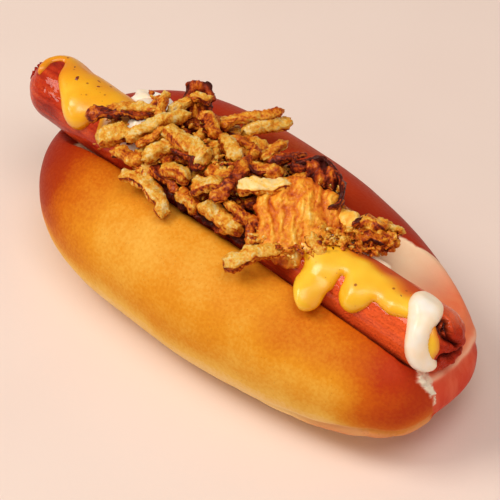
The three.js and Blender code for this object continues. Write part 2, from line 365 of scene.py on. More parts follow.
class Finish:
    """A material in the making. What is the same all over is set on the shader's own sockets. Colours
    are as a screen shows them, 0 to 255, or a node's output."""

    def __init__(self, name, **constants):
        self.material = bpy.data.materials.new(name)
        self.material.use_nodes = True
        self.tree = self.material.node_tree
        self.shader = self.tree.nodes["Principled BSDF"].inputs
        self.places = {}
        for socket, value in constants.items():
            self.shader[socket.replace("_", " ")].default_value = value

    def place(self, stretch):
        """The piece's own coordinates in millimetres, squeezed along each axis by a stretch."""
        if stretch not in self.places:
            place = add_node(self.tree, "ShaderNodeTexCoord").outputs["Object"]
            scale = tuple(1 / (MM * s) for s in stretch)
            mapping = add_node(self.tree, "ShaderNodeMapping", {"Vector": place, "Scale": scale})
            self.places[stretch] = mapping.outputs["Vector"]
        return self.places[stretch]

    def effect(self, group, stretch=(1, 1, 1), **inputs):
        inputs["Vector"] = self.place(stretch)
        return Mask(add_node(self.tree, "ShaderNodeGroup", inputs, node_tree=group).outputs["Mask"])

    def mottle(self, size, low, high, detail, stretch=(1, 1, 1)):
        return self.effect(MOTTLE, stretch, Size=size, Low=low, High=high, Detail=detail)

    def specks(self, spacing, share, radius):
        return self.effect(SPECKS, Spacing=spacing, Share=share, Radius=radius)

    def given(self, *names):
        """The mesh's own attributes."""
        masks = [Mask(add_node(self.tree, "ShaderNodeAttribute", attribute_name=name).outputs["Fac"])
                 for name in names]
        return masks if len(masks) > 1 else masks[0]

    def ramp(self, value, stops):
        """The colour that stands at the mask's value in a row of (position, colour)."""
        ramp = add_node(self.tree, "ShaderNodeValToRGB", {"Fac": value})
        elements = ramp.color_ramp.elements
        while len(elements) < len(stops):
            elements.new(0.5)
        for element, (position, colour) in zip(elements, stops):
            element.position = position
            element.color = linear(*colour)
        return ramp.outputs["Color"]

    def blend(self, colour, *layers):
        """A colour with layers over it, each given as (share, colour)."""
        for share, layer in layers:
            under, over = (linear(*c) if isinstance(c, tuple) else c for c in (colour, layer))
            mix = add_node(self.tree, "ShaderNodeMix", {0: share, 6: under, 7: over}, data_type="RGBA")
            colour = mix.outputs[2]
        return colour

    def done(self, colour, roughness, height, depth, coat=None):
        """Links the finish to the shader, with a bump whose full height is depth, in millimetres."""
        bump = add_node(self.tree, "ShaderNodeBump", {
            "Height": height, "Distance": depth * MM, "Strength": 1.0})
        self.tree.links.new(colour, self.shader["Base Color"])
        self.tree.links.new(roughness.socket, self.shader["Roughness"])
        self.tree.links.new(bump.outputs["Normal"], self.shader["Normal"])
        if coat:
            self.tree.links.new(coat.socket, self.shader["Coat Weight"])
        return self.material


# ---------------------------------------------------------------- bun


def loaf_taper(u, back, front_top):
    """How wide and how tall the loaf still is at u, which runs from -1 at the tail to 1 at the head.
    The front half's top keeps its height almost to the head end."""
    a = np.abs(u)
    tail_plan = (1 - a ** 3.4) ** (1 / 1.7)
    head_plan = np.where(back, (1 - a ** 1.4) ** (1 / 2.44), (1 - a ** 1.5) ** (1 / 4.6))
    plan = np.where(u < 0, tail_plan, head_plan)
    blunt = (1 - a ** 14) ** 0.5 * (1 - 0.14 * smoothstep(0.25, 0.65, a))
    head_rise = lerp((1 - a ** 2.2) ** 0.5, blunt, front_top)
    rise = np.where(u < 0, (1 - a ** 3) ** 0.5, head_rise)
    return plan, rise


def loaf_surface(u, angle):
    """Points of the uncut loaf, pressed flat where it lies on the table."""
    side = np.cos(angle)
    up = np.sin(angle)
    behind = 0.5 + 0.5 * np.tanh(3 * side)
    plan, rise = loaf_taper(u, side > 0, np.where(up > 0, 1 - behind, 0))
    width = np.where(side > 0, BUN_BACK_WIDTH, BUN_FRONT_WIDTH)
    crown = lerp(BUN_FRONT_HEIGHT, BUN_BACK_HEIGHT, behind)
    power = 2 / BUN_SQUARENESS
    y = width * np.sign(side) * np.abs(side) ** power * plan + BUN_BOW * (u * u - 0.33)
    reach = np.where(up > 0, crown - BUN_BULGE_HEIGHT, BUN_BULGE_HEIGHT * BUN_UNDERCUT)
    z = BUN_BULGE_HEIGHT + np.sign(up) * reach * np.abs(up) ** power * rise
    return np.column_stack([u * BUN_LENGTH / 2, y, np.maximum(z, 0)])


def loaf():
    bm = bmesh.new()
    _, share, angle = unit_sphere(bm, around=144, along=110)
    move_points(bm.verts, loaf_surface(-np.cos(share * math.pi), angle))
    return bm


def slit_outline():
    """The split's section as (y, z): round under the sausage, and open to a rolled lip on both sides."""
    def bezier(a, b, c, d, count):
        t = np.linspace(0, 1, count, endpoint=False)[:, None]
        a, b, c, d = (np.array(p, float) for p in (a, b, c, d))
        return a * (1 - t) ** 3 + 3 * b * t * (1 - t) ** 2 + 3 * c * t * t * (1 - t) + d * t ** 3
    lip_front = BUN_FRONT_HEIGHT - 6
    lip_back = BUN_BACK_HEIGHT - 7
    roof = BUN_BACK_HEIGHT + 12
    middle = (SAUSAGE_Y, SLIT_FLOOR)
    front, back = SLIT_FRONT, SLIT_BACK
    back_wall = bezier(middle, (back - 5.5, SLIT_FLOOR), (back - 4, SLIT_FLOOR + 7), (back, SAUSAGE_Z), 12)
    back_lip = bezier((back, SAUSAGE_Z), (back + 2, lip_back + 2), (back + 5.7, lip_back + 5.8),
                      (back + 11, BUN_BACK_HEIGHT + 0.4), 9)
    over = [(back + 11, BUN_BACK_HEIGHT + 0.4), (back + 14, roof), (front - 12, roof)]
    front_lip = bezier((front - 9, BUN_FRONT_HEIGHT + 0.6), (front - 4, lip_front + 5.5),
                       (front - 1, lip_front + 3.3), (front, lip_front), 9)
    front_wall = bezier((front, lip_front), (front, SLIT_FLOOR + 5), (SAUSAGE_Y - 8, SLIT_FLOOR), middle, 12)
    return np.vstack([back_wall, back_lip, over, front_lip, front_wall])


SLIT_STEPS = 120


def slit():
    """The solid that is cut out of the loaf: the section drawn out along X, and bent at the head end."""
    bm = bmesh.new()
    reach = BUN_LENGTH / 2 + 30
    outline = [bm.verts.new((-reach, y, z)) for y, z in slit_outline()]
    faces = [bm.faces.new(outline)]
    for step in range(SLIT_STEPS):
        drawn = bmesh.ops.extrude_face_region(bm, geom=faces)["geom"]
        if step:
            bmesh.ops.delete(bm, geom=faces, context="FACES_ONLY")
        faces = [part for part in drawn if isinstance(part, bmesh.types.BMFace)]
        ring = [part for part in drawn if isinstance(part, bmesh.types.BMVert)]
        bmesh.ops.translate(bm, verts=ring, vec=(2 * reach / SLIT_STEPS, 0, 0))
    x, y, z = points_of(bm.verts).T
    front = y < SAUSAGE_Y
    high = np.where(front, 0, smoothstep(SLIT_FLOOR + 4, BUN_BACK_HEIGHT - 4, z))
    pinch = np.where(front, SLIT_HEAD_PINCH * smoothstep(76, BUN_LENGTH / 2, x), 0)
    wave = 0.35 * np.sin(x / 9) + 0.12 * np.sin(x / 3.7 + 1)
    y = y + pinch + SLIT_HEAD_LEAN * smoothstep(22, 64, x) * high
    y = y + np.where(front, 0.7, 0) * smoothstep(-60, -30, x)
    y = y + wave * smoothstep(SAUSAGE_Z - 4, SAUSAGE_Z + 3, z) * (1 - smoothstep(30, 60, x))
    z = z - SLIT_HEAD_DROP * smoothstep(30, 72, x) * high
    move_points(bm.verts, np.column_stack([x, y, z]))
    bmesh.ops.recalc_face_normals(bm, faces=bm.faces[:])
    return bm


def distances(points, bm):
    tree = BVHTree.FromBMesh(bm)
    return np.array([tree.find_nearest(Vector(p))[3] for p in points])


BUN_VOXEL = 0.85
BUN_SMOOTHINGS = 7


def bun_blank(whole, cut):
    """The loaf with the split cut out, remeshed evenly and with its edges softened."""
    blanks = []
    for name, shape in (("loaf_blank", whole), ("slit_blank", cut)):
        blanks.append(placed(name, bpy.data.meshes.new(name)))
        shape.to_mesh(blanks[-1].data)
    boolean = blanks[0].modifiers.new("split", "BOOLEAN")
    boolean.operation = "DIFFERENCE"
    boolean.solver = "MANIFOLD"
    boolean.object = blanks[1]
    remesh = blanks[0].modifiers.new("even", "REMESH")
    remesh.mode = "VOXEL"
    remesh.voxel_size = BUN_VOXEL
    seen = blanks[0].evaluated_get(bpy.context.evaluated_depsgraph_get())
    bm = bmesh.new()
    bm.from_mesh(bpy.data.meshes.new_from_object(seen))
    for blank in blanks:
        bpy.data.objects.remove(blank)
    for _ in range(BUN_SMOOTHINGS):
        bmesh.ops.smooth_vert(bm, verts=bm.verts[:], factor=0.5,
                              use_axis_x=True, use_axis_y=True, use_axis_z=True)
    return bm


# The crease low on the front as (x, z), the fold round the head end as (y, z), and the tear.
CREASE_KNOTS = ((30, 9), (50, 12), (66, 15), (76, 17.5), (86, 18))
LEDGE_KNOTS = ((-9, 32), (-3, 30.9), (4, 29.8), (11, 28.9), (15.4, 28.1), (21.5, 25.7), (28, 23))
TEAR_KNOTS = ((83, -9.8, 33.6), (85.2, -9.2, 30.5), (86.6, -8.6, 27), (87.2, -8, 23.6))


def crust_browning(points, rim):
    """How dark the crust is: 0 where the loaf stood against the tin, 1 on its darkest shoulders. Mostly
    baking, with painted bounce light low down and painted shade at the head end and up the back.
    """
    x, y, z = points.T
    u = x / (BUN_LENGTH / 2)
    bake = 0.35 + 0.07 * lumps(points, 38, 3)
    # Paler low down: partly the crust's own paler base, partly painted bounce light from the table.
    bake -= 0.34 * (1 - smoothstep(12, 24, z + 2 * lumps(points, 16, 9)))
    bake += 0.72 * smoothstep(0.25, 1.0, -u) * smoothstep(8, 30, z)
    bake += 0.20 * smoothstep(28, 50, x) * smoothstep(29, 37, z)
    # Darker at the head end: partly baking, partly painted shade where the end faces away from the lamps.
    bake += 0.42 * smoothstep(0.7, 1.0, u) * smoothstep(10, 26, z)
    bake += 0.06 * gauss(rim, 4)
    # Darker up the back half: partly baking, partly painted shade where the back faces away from the lamps.
    climb = lerp(smoothstep(3, 20, z), smoothstep(17, 33, z + 2 * lumps(points, 20, 24)), 0.6)
    bake += (0.44 + 0.12 * smoothstep(-10, 40, x)) * smoothstep(2, 16, y) * climb
    return np.clip(bake, 0, 1)


def crumb_share(points, to_crust, rim):
    """1 on the split's pale inside. Crust rolls over the front rim, and at the head end the inside's
    pale skin reaches out over the back rim and down the end."""
    x, y = points.T[:2]
    corner = lerp(-11.0, -8.9, smoothstep(76, 84, x)) + 0.5 * lumps(points, 2.5, 17)
    behind = smoothstep(corner - 0.7, corner + 0.7, y)
    reach = lerp(-4.6, 0.2, behind) - 14 * (1 - smoothstep(-80, -66, x))
    reach += behind * (6 * smoothstep(48, 58, x) + 3 * smoothstep(76, 86, x))
    soft = 0.3 + 2.0 * behind * smoothstep(78, 86, x)
    return smoothstep(-soft, soft, to_crust - rim + reach + 0.3 * lumps(points, 4, 8))


def pale_end(points):
    """1 on the smooth end of the loaf below the sausage's head, behind the tear."""
    x, y, z = points.T
    corner = -8.9 + 0.6 * lumps(points, 2.5, 17)
    side = smoothstep(corner - 0.8, corner + 0.8, y) * smoothstep(76, 82, x)
    return side * smoothstep(5, 21, z + 2 * lumps(points, 9, 18))


def above_ledge(points):
    """How far above the fold that runs round below the sausage's head each point of the loaf lies."""
    y, z = curve_through(LEDGE_KNOTS, 60).T
    return points[:, 2] - np.interp(points[:, 1], y, z) - 0.4 * lumps(points, 6, 21)


def torn_crumb(points):
    """1 along the ragged tear that runs down the head end from the split's front corner."""
    line = curve_through(TEAR_KNOTS, 60)
    gap = np.full(len(points), 99.0)
    near = points[:, 0] > 75
    offsets = np.sqrt(((points[near, None, :] - line) ** 2).sum(2))
    widths = np.interp(np.arange(60), (0, 12, 30, 59), (2.0, 1.7, 0.8, 0.3))
    gap[near] = (offsets - widths).min(1)
    return smoothstep(0.7, -0.2, gap - 0.9 * lumps(points, 1.9, 14, 2))


def front_crease(points):
    """The crease low on the front: how far above it each point lies, how plain it is there, and the
    wrinkles below it."""
    x, y, z = points.T
    crease_x, crease_z = curve_through(CREASE_KNOTS, 80).T
    above = z - np.interp(x, crease_x, crease_z) - 1.2 * lumps(points, 9, 6)
    plain = smoothstep(24, 56, x) * ((y < -8) & (z < 30))
    return above, plain, plain * creased(points * (0.2, 0.2, 1), 2.6, 22) * smoothstep(0, -3, above)


def bun():
    whole, cut = loaf(), slit()
    bm = bun_blank(whole, cut)
    points = points_of(bm.verts)
    x, y, z = points.T
    rim = distances(points, cut)
    at_end = smoothstep(73, 79, x) * smoothstep(-9.5, -7, y)
    ledge = above_ledge(points)
    below = at_end * smoothstep(0.6, -1.6, ledge)
    crumb = crumb_share(points, distances(points, whole), rim) * (1 - below)
    whole.free()
    cut.free()
    torn, end = torn_crumb(points), pale_end(points)
    crease, plain, wrinkles = front_crease(points)
    push = lerp(0.5 * lumps(points, 30, 1) + 0.05 * lumps(points, 7, 2),
                0.22 * lumps(points, 9, 4) + 0.04 * lumps(points, 2.6, 5, 2), np.maximum(crumb, end))
    push += torn * (0.35 + 0.5 * creased(points, 1.8, 15) + 0.5 * lumps(points, 1.0, 16, 2))
    push += at_end * (0.55 * gauss(ledge, 1.0) - 0.4 * gauss(ledge + 2.6, 1.6)
                      - 0.4 * gauss(ledge - 2.4, 1.4))
    push += plain * (0.6 * gauss(crease + 2.4, 1.7) - 0.9 * gauss(crease, 1.0)) + 0.32 * wrinkles
    points = points + normals_of(bm) * (push * smoothstep(0, 3, z))[:, None]
    points[:, 2] = np.maximum(points[:, 2], 0)
    move_points(bm.verts, points)
    x, y, z = points.T
    near_tear = 1 - smoothstep(8, 26, y + 3 * lumps(points, 8, 23))
    # The pale fold low on the front is partly the crust's own paler crease, partly a painted highlight on its
    # ridge.
    fold = plain * gauss(crease + 1.6, 2.6) * (1 - 0.6 * smoothstep(62, 82, x)) + 0.4 * wrinkles
    # Several of these masks carry painted light: a painted highlight along the fold under the sausage's head,
    # painted reddish bounce light and shade towards the head end and on the end face, painted shade up the
    # back, and a partly painted highlight on the pale fold low on the front.
    finish_piece("split_bun", bm, bun_material(), "bun_crust", ["bun"],
                 crumb=crumb, torn=torn, pale_end=end * near_tear, below=below * near_tear, pale_fold=fold,
                 ledge=at_end * gauss(ledge, 0.8), browning=crust_browning(points, rim),
                 blush=smoothstep(46, 70, x), ruddy=smoothstep(58, 82, x + 0.4 * y + 8),
                 low=1 - smoothstep(14, 34, z),
                 far=smoothstep(6, 22, y) * lerp(0.3, 1, smoothstep(17, 33, z)))


def bun_material():
    skin = Finish("bun_crust", Specular_IOR_Level=0.05)
    crumb, torn, end, below = skin.given("crumb", "torn", "pale_end", "below")
    fold, blush = skin.given("pale_fold", "blush")
    fine, cells = skin.mottle(1.1, 0.3, 0.7, 3), skin.mottle(2.6, 0.3, 0.7, 4)
    pores = skin.specks(0.9, 0.3, 0.26)
    browning = skin.given("browning") + 0.10 * (skin.mottle(13, 0.25, 0.75, 3) - 0.5) + 0.07 * (fine - 0.5)
    crust = skin.ramp((browning - 0.42 * fold).clamped(), (
        (0.0, (252, 212, 138)), (0.18, (242, 188, 80)), (0.40, (227, 147, 34)), (0.60, (205, 104, 13)),
        (0.8, (172, 59, 8)), (1.0, (150, 34, 8))))
    streaks = skin.mottle(3.2, 0.35, 0.7, 2, (1, 1, 5))
    # The end face below the sausage's head: its pink and red are painted reddish bounce light on a pale end,
    # deeper red towards the bottom.
    lower_end = skin.blend((228, 92, 62), (skin.given("low"), (208, 56, 34)), (0.4 * streaks, (240, 126, 90)))
    # Over the baked crust: the back's deep red is partly painted shade, the head end's redder tone and the
    # pink on its fold are painted reddish bounce light, and the pores are the crust's own.
    crust = skin.blend(crust, (0.5 * skin.given("far"), (190, 50, 18)),
                       (0.4 * skin.given("ruddy"), (206, 62, 34)),
                       (0.75 * (blush * fold).clamped(), (222, 122, 78)), (0.24 * pores, (150, 62, 14)),
                       (end.or_more(below), lower_end))
    # The inside turns pink towards the head end: painted reddish bounce light and shade.
    inside = skin.blend((255, 226, 188), (blush, (240, 122, 80)), (0.12 * cells, (248, 190, 134)),
                        (torn, (255, 244, 220)))
    inner = crumb.or_more(torn)
    # A painted highlight along the fold under the sausage's head.
    colour = skin.blend(crust, (inner, inside), (0.75 * skin.given("ledge"), (255, 202, 168)))
    relief = (0.7 * fine - pores) * (1.0 - inner) + cells * (crumb + 5.0 * torn)
    return skin.done(colour, 0.3 * torn + 0.08 * fine + 0.40, relief, 0.05)


# ---------------------------------------------------------------- sausage


def arc_at(x):
    """The distance along the sausage's skin, level with x, that a straight skin would have there."""
    start, end = SAUSAGE_TAIL_X + SAUSAGE_RADIUS, SAUSAGE_HEAD_X - SAUSAGE_RADIUS
    beyond = np.clip((x - np.clip(x, start, end)) / SAUSAGE_RADIUS, -1, 1)
    return np.clip(x, start, end) + SAUSAGE_RADIUS * np.arcsin(beyond)


def on_sausage(arc, angle, height):
    """Points a height above the skin. The angle goes from the top, and is negative on the front."""
    start, end = SAUSAGE_TAIL_X + SAUSAGE_RADIUS, SAUSAGE_HEAD_X - SAUSAGE_RADIUS
    turned = np.clip((arc - np.clip(arc, start, end)) / SAUSAGE_RADIUS, -math.pi / 2, math.pi / 2)
    reach = SAUSAGE_RADIUS + height
    x = np.clip(arc, start, end) + reach * np.sin(turned)
    out = reach * np.cos(turned)
    x = x - np.where(x < SAUSAGE_MIDDLE, SAUSAGE_KNOT * gauss(out, 2.6), SAUSAGE_PUCKER * gauss(out, 5))
    t = (x - SAUSAGE_MIDDLE) / SAUSAGE_HALF
    y = out * np.sin(angle) + SAUSAGE_Y + 0.8 * (t * t - 0.4)
    z = out * np.cos(angle) + SAUSAGE_Z + 1.2 * smoothstep(0.55, 1, -t)
    return np.column_stack([x, y, z])


HEAD_ARC = arc_at(SAUSAGE_HEAD_X)
TAIL_ARC = arc_at(SAUSAGE_TAIL_X)

# Crevices of the puckered head, in millimetres to the back of and above its middle.
PUCKER_LINES = (
    ((-2.1, 13.0), (-3.4, 10.8), (-3.6, 8.8), (-2.8, 7.0), (-1.0, 4.8), (1.7, 1.2)),
    ((6.5, -3.6), (5.1, -2.8), (1.8, -1.7), (-1.4, -1.4), (-5.0, 1.4), (-7.2, -0.4)),
    ((-2.1, 13.0), (0.1, 12.9), (0.5, 11.4), (-2.4, 10.2)),
    ((-0.6, 10.2), (-1.4, 8.1), (-1.2, 5.6)))
# Small beads of skin between them: place, spread and height.
PUCKER_BEADS = ((1.5, 1.0, 1.2, 1.2), (-1.6, 11.6, 1.0, 0.7), (-0.6, -3.8, 1.6, 0.8), (3.2, 4.6, 2.2, 0.7),
                (-0.8, 3.0, 1.0, 0.8))


def head_pucker(arc, angle):
    """The gathered skin of the sausage's head: its height, and how deep in a crevice each point lies."""
    from_head = HEAD_ARC - arc
    plan = from_head[:, None] * np.column_stack([np.sin(angle), np.cos(angle)])
    near = from_head < 17
    gap = np.full(len(arc), 99.0)
    for knots in PUCKER_LINES:
        offsets = plan[near, None] - curve_through(knots, 60)
        gap[near] = np.minimum(gap[near], np.sqrt((offsets ** 2).sum(2)).min(1))
    gap = np.abs(gap + 0.45 * lumps(flat(plan), 1.8, 12))
    fringe = 1 - smoothstep(8, 15, from_head)
    height = fringe * (0.5 * gauss(gap - 1.8, 0.9) + 0.35 * lumps(flat(plan), 2.4, 13))
    height -= 1.7 * gauss(gap, 0.7)
    for back, up, spread, extra in PUCKER_BEADS:
        height += extra * gauss(np.linalg.norm(plan - (back, up), axis=1), spread)
    return height, gauss(gap, 0.85) * (1 - smoothstep(13, 16, from_head))


def skin_height(arc, angle):
    """The skin's own relief: dents, long fine wrinkles, and gathered folds round the tied tail."""
    ring = np.column_stack([arc, SAUSAGE_RADIUS * np.sin(angle), SAUSAGE_RADIUS * np.cos(angle)])
    height = 0.28 * lumps(ring, 13, 1) + 0.06 * lumps(ring * (0.35, 1, 1), 1.7, 2, 2)
    from_tail = arc - TAIL_ARC
    gathers = np.abs(np.sin(4 * angle + 0.9 * lumps(ring, 5, 3))) ** 0.7 - 0.5
    slanted = np.column_stack([0.45 * arc + 0.5 * ring[:, 1], ring[:, 1] - 0.3 * arc, ring[:, 2]])
    return (height + 0.7 * gathers * band((0.3, 2), (4, 12), from_tail)
            - 0.16 * np.abs(lumps(slanted, 1.5, 9, 2)) * band((6, 12), (22, 34), from_tail))


KNOT_FLAKES = 46


def sausage_knot(skin):
    """Dry ragged skin that stands out round the tied tail."""
    rng = random.Random(3)
    bm = bmesh.new()
    for number in range(KNOT_FLAKES):
        arc = TAIL_ARC + rng.uniform(1.8, 5.2)
        angle = rng.uniform(-0.4, 1.5) if number % 3 else rng.uniform(-math.pi, math.pi)
        add_crumb(bm, on_sausage(arc, angle, 0.3)[0], rng.uniform(0.5, 1.05), number, (1.0, 0.8, 1.3))
    # The flakes get a little of the crevices' painted shade.
    finish_piece("sausage_knot", bm, skin, "sausage_skin", crevice=0.2, dry_end=0.75)


def sausage():
    skin = sausage_material()
    bm = bmesh.new()
    _, share, turn = unit_sphere(bm, around=160, along=400)
    angle = math.pi / 2 - turn
    arc = lerp(TAIL_ARC, HEAD_ARC, share - 0.05 * np.sin(2 * math.pi * share))
    pucker, crevice = head_pucker(arc, angle)
    points = on_sausage(arc, angle, skin_height(arc, angle) + pucker)
    move_points(bm.verts, points)
    from_head = HEAD_ARC - arc
    dry_end = np.maximum(1 - smoothstep(1, 6, arc - TAIL_ARC), 0.9 * (1 - smoothstep(6, 13, from_head)))
    film = band((0, 40), (80, 110), np.degrees(angle)) * band((7.0, 11.5), (16, 21), from_head)
    # The front of the head half is painted lighter orange, as painted bounce light.
    finish_piece("smoked_sausage", bm, skin, "sausage_skin", ["sausage"],
                 crevice=crevice, dry_end=dry_end, film=film, bright=smoothstep(0, 65, points[:, 0]))
    sausage_knot(skin)


def sausage_material():
    skin = Finish("sausage_skin", Specular_IOR_Level=0.04, Coat_Roughness=0.07)
    along = (4.5, 1, 1)
    dry_end = skin.given("dry_end")
    wrinkles = skin.mottle(0.75, 0.3, 0.75, 3, along)
    tone = 0.55 * skin.mottle(14, 0.3, 0.7, 3) + 0.45 * skin.mottle(1.6, 0.3, 0.7, 3, along)
    colour = skin.ramp(tone, ((0.0, (140, 24, 10)), (0.5, (194, 52, 20)), (1.0, (222, 84, 32))))
    # Lighter orange towards the head is painted bounce light, and the near-black in the pucker's crevices is
    # painted shade.
    colour = skin.blend(colour, (0.65 * skin.given("bright"), (252, 104, 46)),
                        (0.3 * skin.mottle(1.0, 0.5, 0.8, 2, along), (146, 24, 12)),
                        (0.85 * dry_end, (168, 26, 20)), (0.3 * skin.given("film"), (236, 140, 108)),
                        (skin.given("crevice"), (56, 5, 5)))
    dimples = 0.8 * wrinkles + skin.mottle(0.7, 0.45, 0.75, 2)
    return skin.done(colour, 0.27 + 0.18 * wrinkles, dimples, 0.22, coat=(0.4 - 0.42 * dry_end).clamped())


# ---------------------------------------------------------------- sheets cut to an outline


BATCH = 3000                            # points measured at a time


def inside_distance(points, outline):
    """How far each point lies inside a closed outline (below 0 outside), and the nearest outline point."""
    ends = np.roll(outline, -1, axis=0)
    along = ends - outline
    length2 = (along ** 2).sum(1)
    distance = np.empty(len(points))
    nearest = np.empty_like(points)
    for first in range(0, len(points), BATCH):
        part = points[first:first + BATCH, None, :]
        t = np.clip(((part - outline) * along).sum(2) / length2, 0, 1)
        foot = outline + along * t[..., None]
        gap = ((part - foot) ** 2).sum(2)
        best = gap.argmin(1)
        rows = np.arange(len(best))
        crosses = (outline[:, 1] > part[..., 1]) != (ends[:, 1] > part[..., 1])
        safe = np.where(along[:, 1] == 0, 1e-9, along[:, 1])
        left = part[..., 0] < outline[:, 0] + along[:, 0] * (part[..., 1] - outline[:, 1]) / safe
        within = (crosses & left).sum(1) % 2 == 1
        distance[first:first + BATCH] = np.sqrt(gap[rows, best]) * np.where(within, 1, -1)
        nearest[first:first + BATCH] = foot[rows, best]
    return distance, nearest


def cut_sheet(outline, spacing):
    """A closed two-sided sheet cut to an outline. Gives the bmesh, the plan place of each vertex,
    how far it lies inside the outline, and whether it is on the upper side."""
    low = outline.min(0) - spacing
    high = outline.max(0) + spacing
    columns, rows = np.ceil((high - low) / spacing).astype(int)
    bm = bmesh.new()
    bmesh.ops.create_grid(bm, x_segments=columns, y_segments=rows, size=1)
    plan = low + (points_of(bm.verts)[:, :2] + 1) / 2 * (high - low)
    inside, nearest = inside_distance(plan, outline)
    near_edge = inside < 0.35 * spacing
    plan[near_edge] = nearest[near_edge]
    dropped = [face for face in bm.faces if all(near_edge[v.index] for v in face.verts)]
    move_points(bm.verts, flat(plan))
    bmesh.ops.delete(bm, geom=dropped, context="FACES")
    for part in bmesh.ops.extrude_face_region(bm, geom=bm.faces[:], use_keep_orig=True)["geom"]:
        if isinstance(part, bmesh.types.BMVert):
            part.co.z = 1
    points = points_of(bm.verts)
    inside, _ = inside_distance(points[:, :2], outline)
    return bm, points[:, :2], np.maximum(inside, 0), points[:, 2] > 0.5


def ragged(outline, size, amount, seed):
    """The outline with its points shifted in and out."""
    return outline + amount * np.column_stack([lumps(flat(outline), size, seed + n, 3) for n in (0, 1)])


# ---------------------------------------------------------------- sauces

YELLOW_THICKNESS = 1.35
FILM_THINNING = 0.75                    # how much of its thickness the yellow sauce loses in a film
SAUCE_UNDERSIDE = -0.9                  # how far the sauces reach into the skin

# Outlines as (x along the sausage, degrees from its top, negative on the front), each with its drips'
# thick ends: x, degrees, spread in millimetres, and how much thicker.
YELLOW_OUTLINE = (
    (-91, 32), (-92.8, 12), (-92.6, -12), (-90.2, -36), (-89.2, -24), (-89.6, 2), (-87, 17), (-84.7, 6),
    (-82, -21), (-77, -44), (-72.4, -68), (-68.5, -79), (-64.5, -76), (-62, -60), (-61, -42), (-59.4, -30),
    (-58.2, -42), (-57.2, -60), (-55.2, -76), (-52, -76), (-50.4, -60), (-48, -42), (-36, -30), (-15, -36),
    (5, -26), (22, -34), (33, -40), (35.5, -62), (36.5, -88), (41, -104), (46, -92), (47.4, -62), (47.8, -34),
    (49.3, -34), (50.2, -58), (53, -75), (57, -76), (60, -58), (61.8, -39), (65, -42), (69, -43), (74, -33),
    (78, -26), (79, -6), (79.4, 10), (74, 27), (66, 40), (54, 49), (44, 52), (25, 46), (5, 34), (-20, 47),
    (-44, 44), (-60, 56), (-73, 84), (-82, 70), (-88, 50))
YELLOW_BULBS = ((-68, -64, 5.5, 1.9), (-72, -46, 4, 0.8), (-70, -30, 6, 0.5), (-53.8, -64, 3.2, 1.3),
                (41, -84, 5, 2.4), (41, -50, 5, 1.2), (55, -64, 4.6, 1.9), (54, -40, 5, 0.8),
                (68.5, -36, 4, 1.0), (-90, -24, 2, 0.4))
WHITE_OUTLINE = (
    (70.2, 22), (70.0, 6), (71.0, -9), (73.4, -29), (75.6, -48), (77.2, -70), (78.8, -90), (81.2, -104),
    (84.4, -110), (86.6, -103), (86.8, -88), (85.4, -70), (84.0, -54), (83.0, -38), (82.4, -22), (82.2, -8),
    (81.6, 4), (80.6, 14), (79.0, 24), (76.5, 32), (73.5, 34), (71.2, 30))
WHITE_BULBS = ((82.4, -94, 5.0, 1.6), (80.2, -66, 5.0, 1.5), (78.5, -34, 5, 1.2), (76.5, 2, 6, 0.7),
               (76, 30, 5, -0.8))
HEAD_YELLOW_OUTLINE = (
    (81.2, -12), (82.4, -18), (84.0, -26), (85.4, -34), (86.3, -46), (86.6, -58), (86.3, -72), (86.0, -86),
    (85.0, -98), (83.6, -92), (82.4, -66), (81.4, -40))
TAIL_WHITE_OUTLINE = (
    (-57, 72), (-58, 52), (-55, 30), (-50.5, 6), (-48.5, -12), (-47.5, -34), (-47.5, -52), (-44.5, -62),
    (-39.5, -54), (-37.8, -38), (-39.5, -18), (-39.8, 2), (-41, 20), (-43, 40), (-47, 60), (-52, 76))
TAIL_WHITE_BULBS = ((-51, 42, 6.5, 4.4), (-44.5, -6, 5, 2.2), (-43, -46, 4, 1.6))
MIDDLE_WHITE_OUTLINE = (
    (26, 90), (25, 62), (28, 34), (33, 16), (38, 14), (43, 22), (48, 34), (54, 50), (54.5, 60), (49, 62),
    (42, 66), (37, 90))
MIDDLE_WHITE_BULBS = ((33, 46, 5, 1.4), (48, 48, 5, -0.7))
# Coarser bits of spice in the yellow sauce: x, degrees and radius.
FLECKS = ((-75.7, -4, 0.85), (-68.0, 8, 0.6), (-68.2, -19, 0.5), (-64.1, -32, 0.5), (-70.4, 19, 0.55),
          (-81.0, 14, 0.5), (66.7, -21, 0.6), (68.1, -10, 0.4), (48.0, -21, 0.4), (53.1, -34, 0.35),
          (58.5, -12, 0.3))


def unrolled(x, degrees):
    """Places on the unrolled skin, in millimetres along it and round it."""
    return np.array([arc_at(x), SAUSAGE_RADIUS * np.radians(degrees)]).T


def sauce_outline(outline):
    return curve_through(unrolled(*np.array(outline, float).T), 10 * len(outline), closed=True)


def thinned(plan):
    """1 where the yellow sauce thins out to a film, on the back near the sausage's ends."""
    arc, girth = plan.T
    wander = np.degrees(girth / SAUSAGE_RADIUS) + 14 * lumps(flat(plan), 9, 33)
    head = smoothstep(-8, 28, wander) * smoothstep(34, 50, arc)
    return np.maximum(head, 0.75 * smoothstep(22, 58, wander) * band((-88, -78), (-50, -42), arc))


def sauce_height(plan, inside, thickness, bulbs):
    """Thickness of a sauce: a rounded edge, thicker or thinner by each bulb's extra."""
    full = np.full(len(plan), float(thickness))
    for x, degrees, spread, extra in bulbs:
        full += extra * gauss(np.linalg.norm(plan - unrolled(x, degrees), axis=1), spread)
    t = np.clip(inside / (1.75 * full), 0, 1)
    return full * np.sqrt(t * (2 - t))


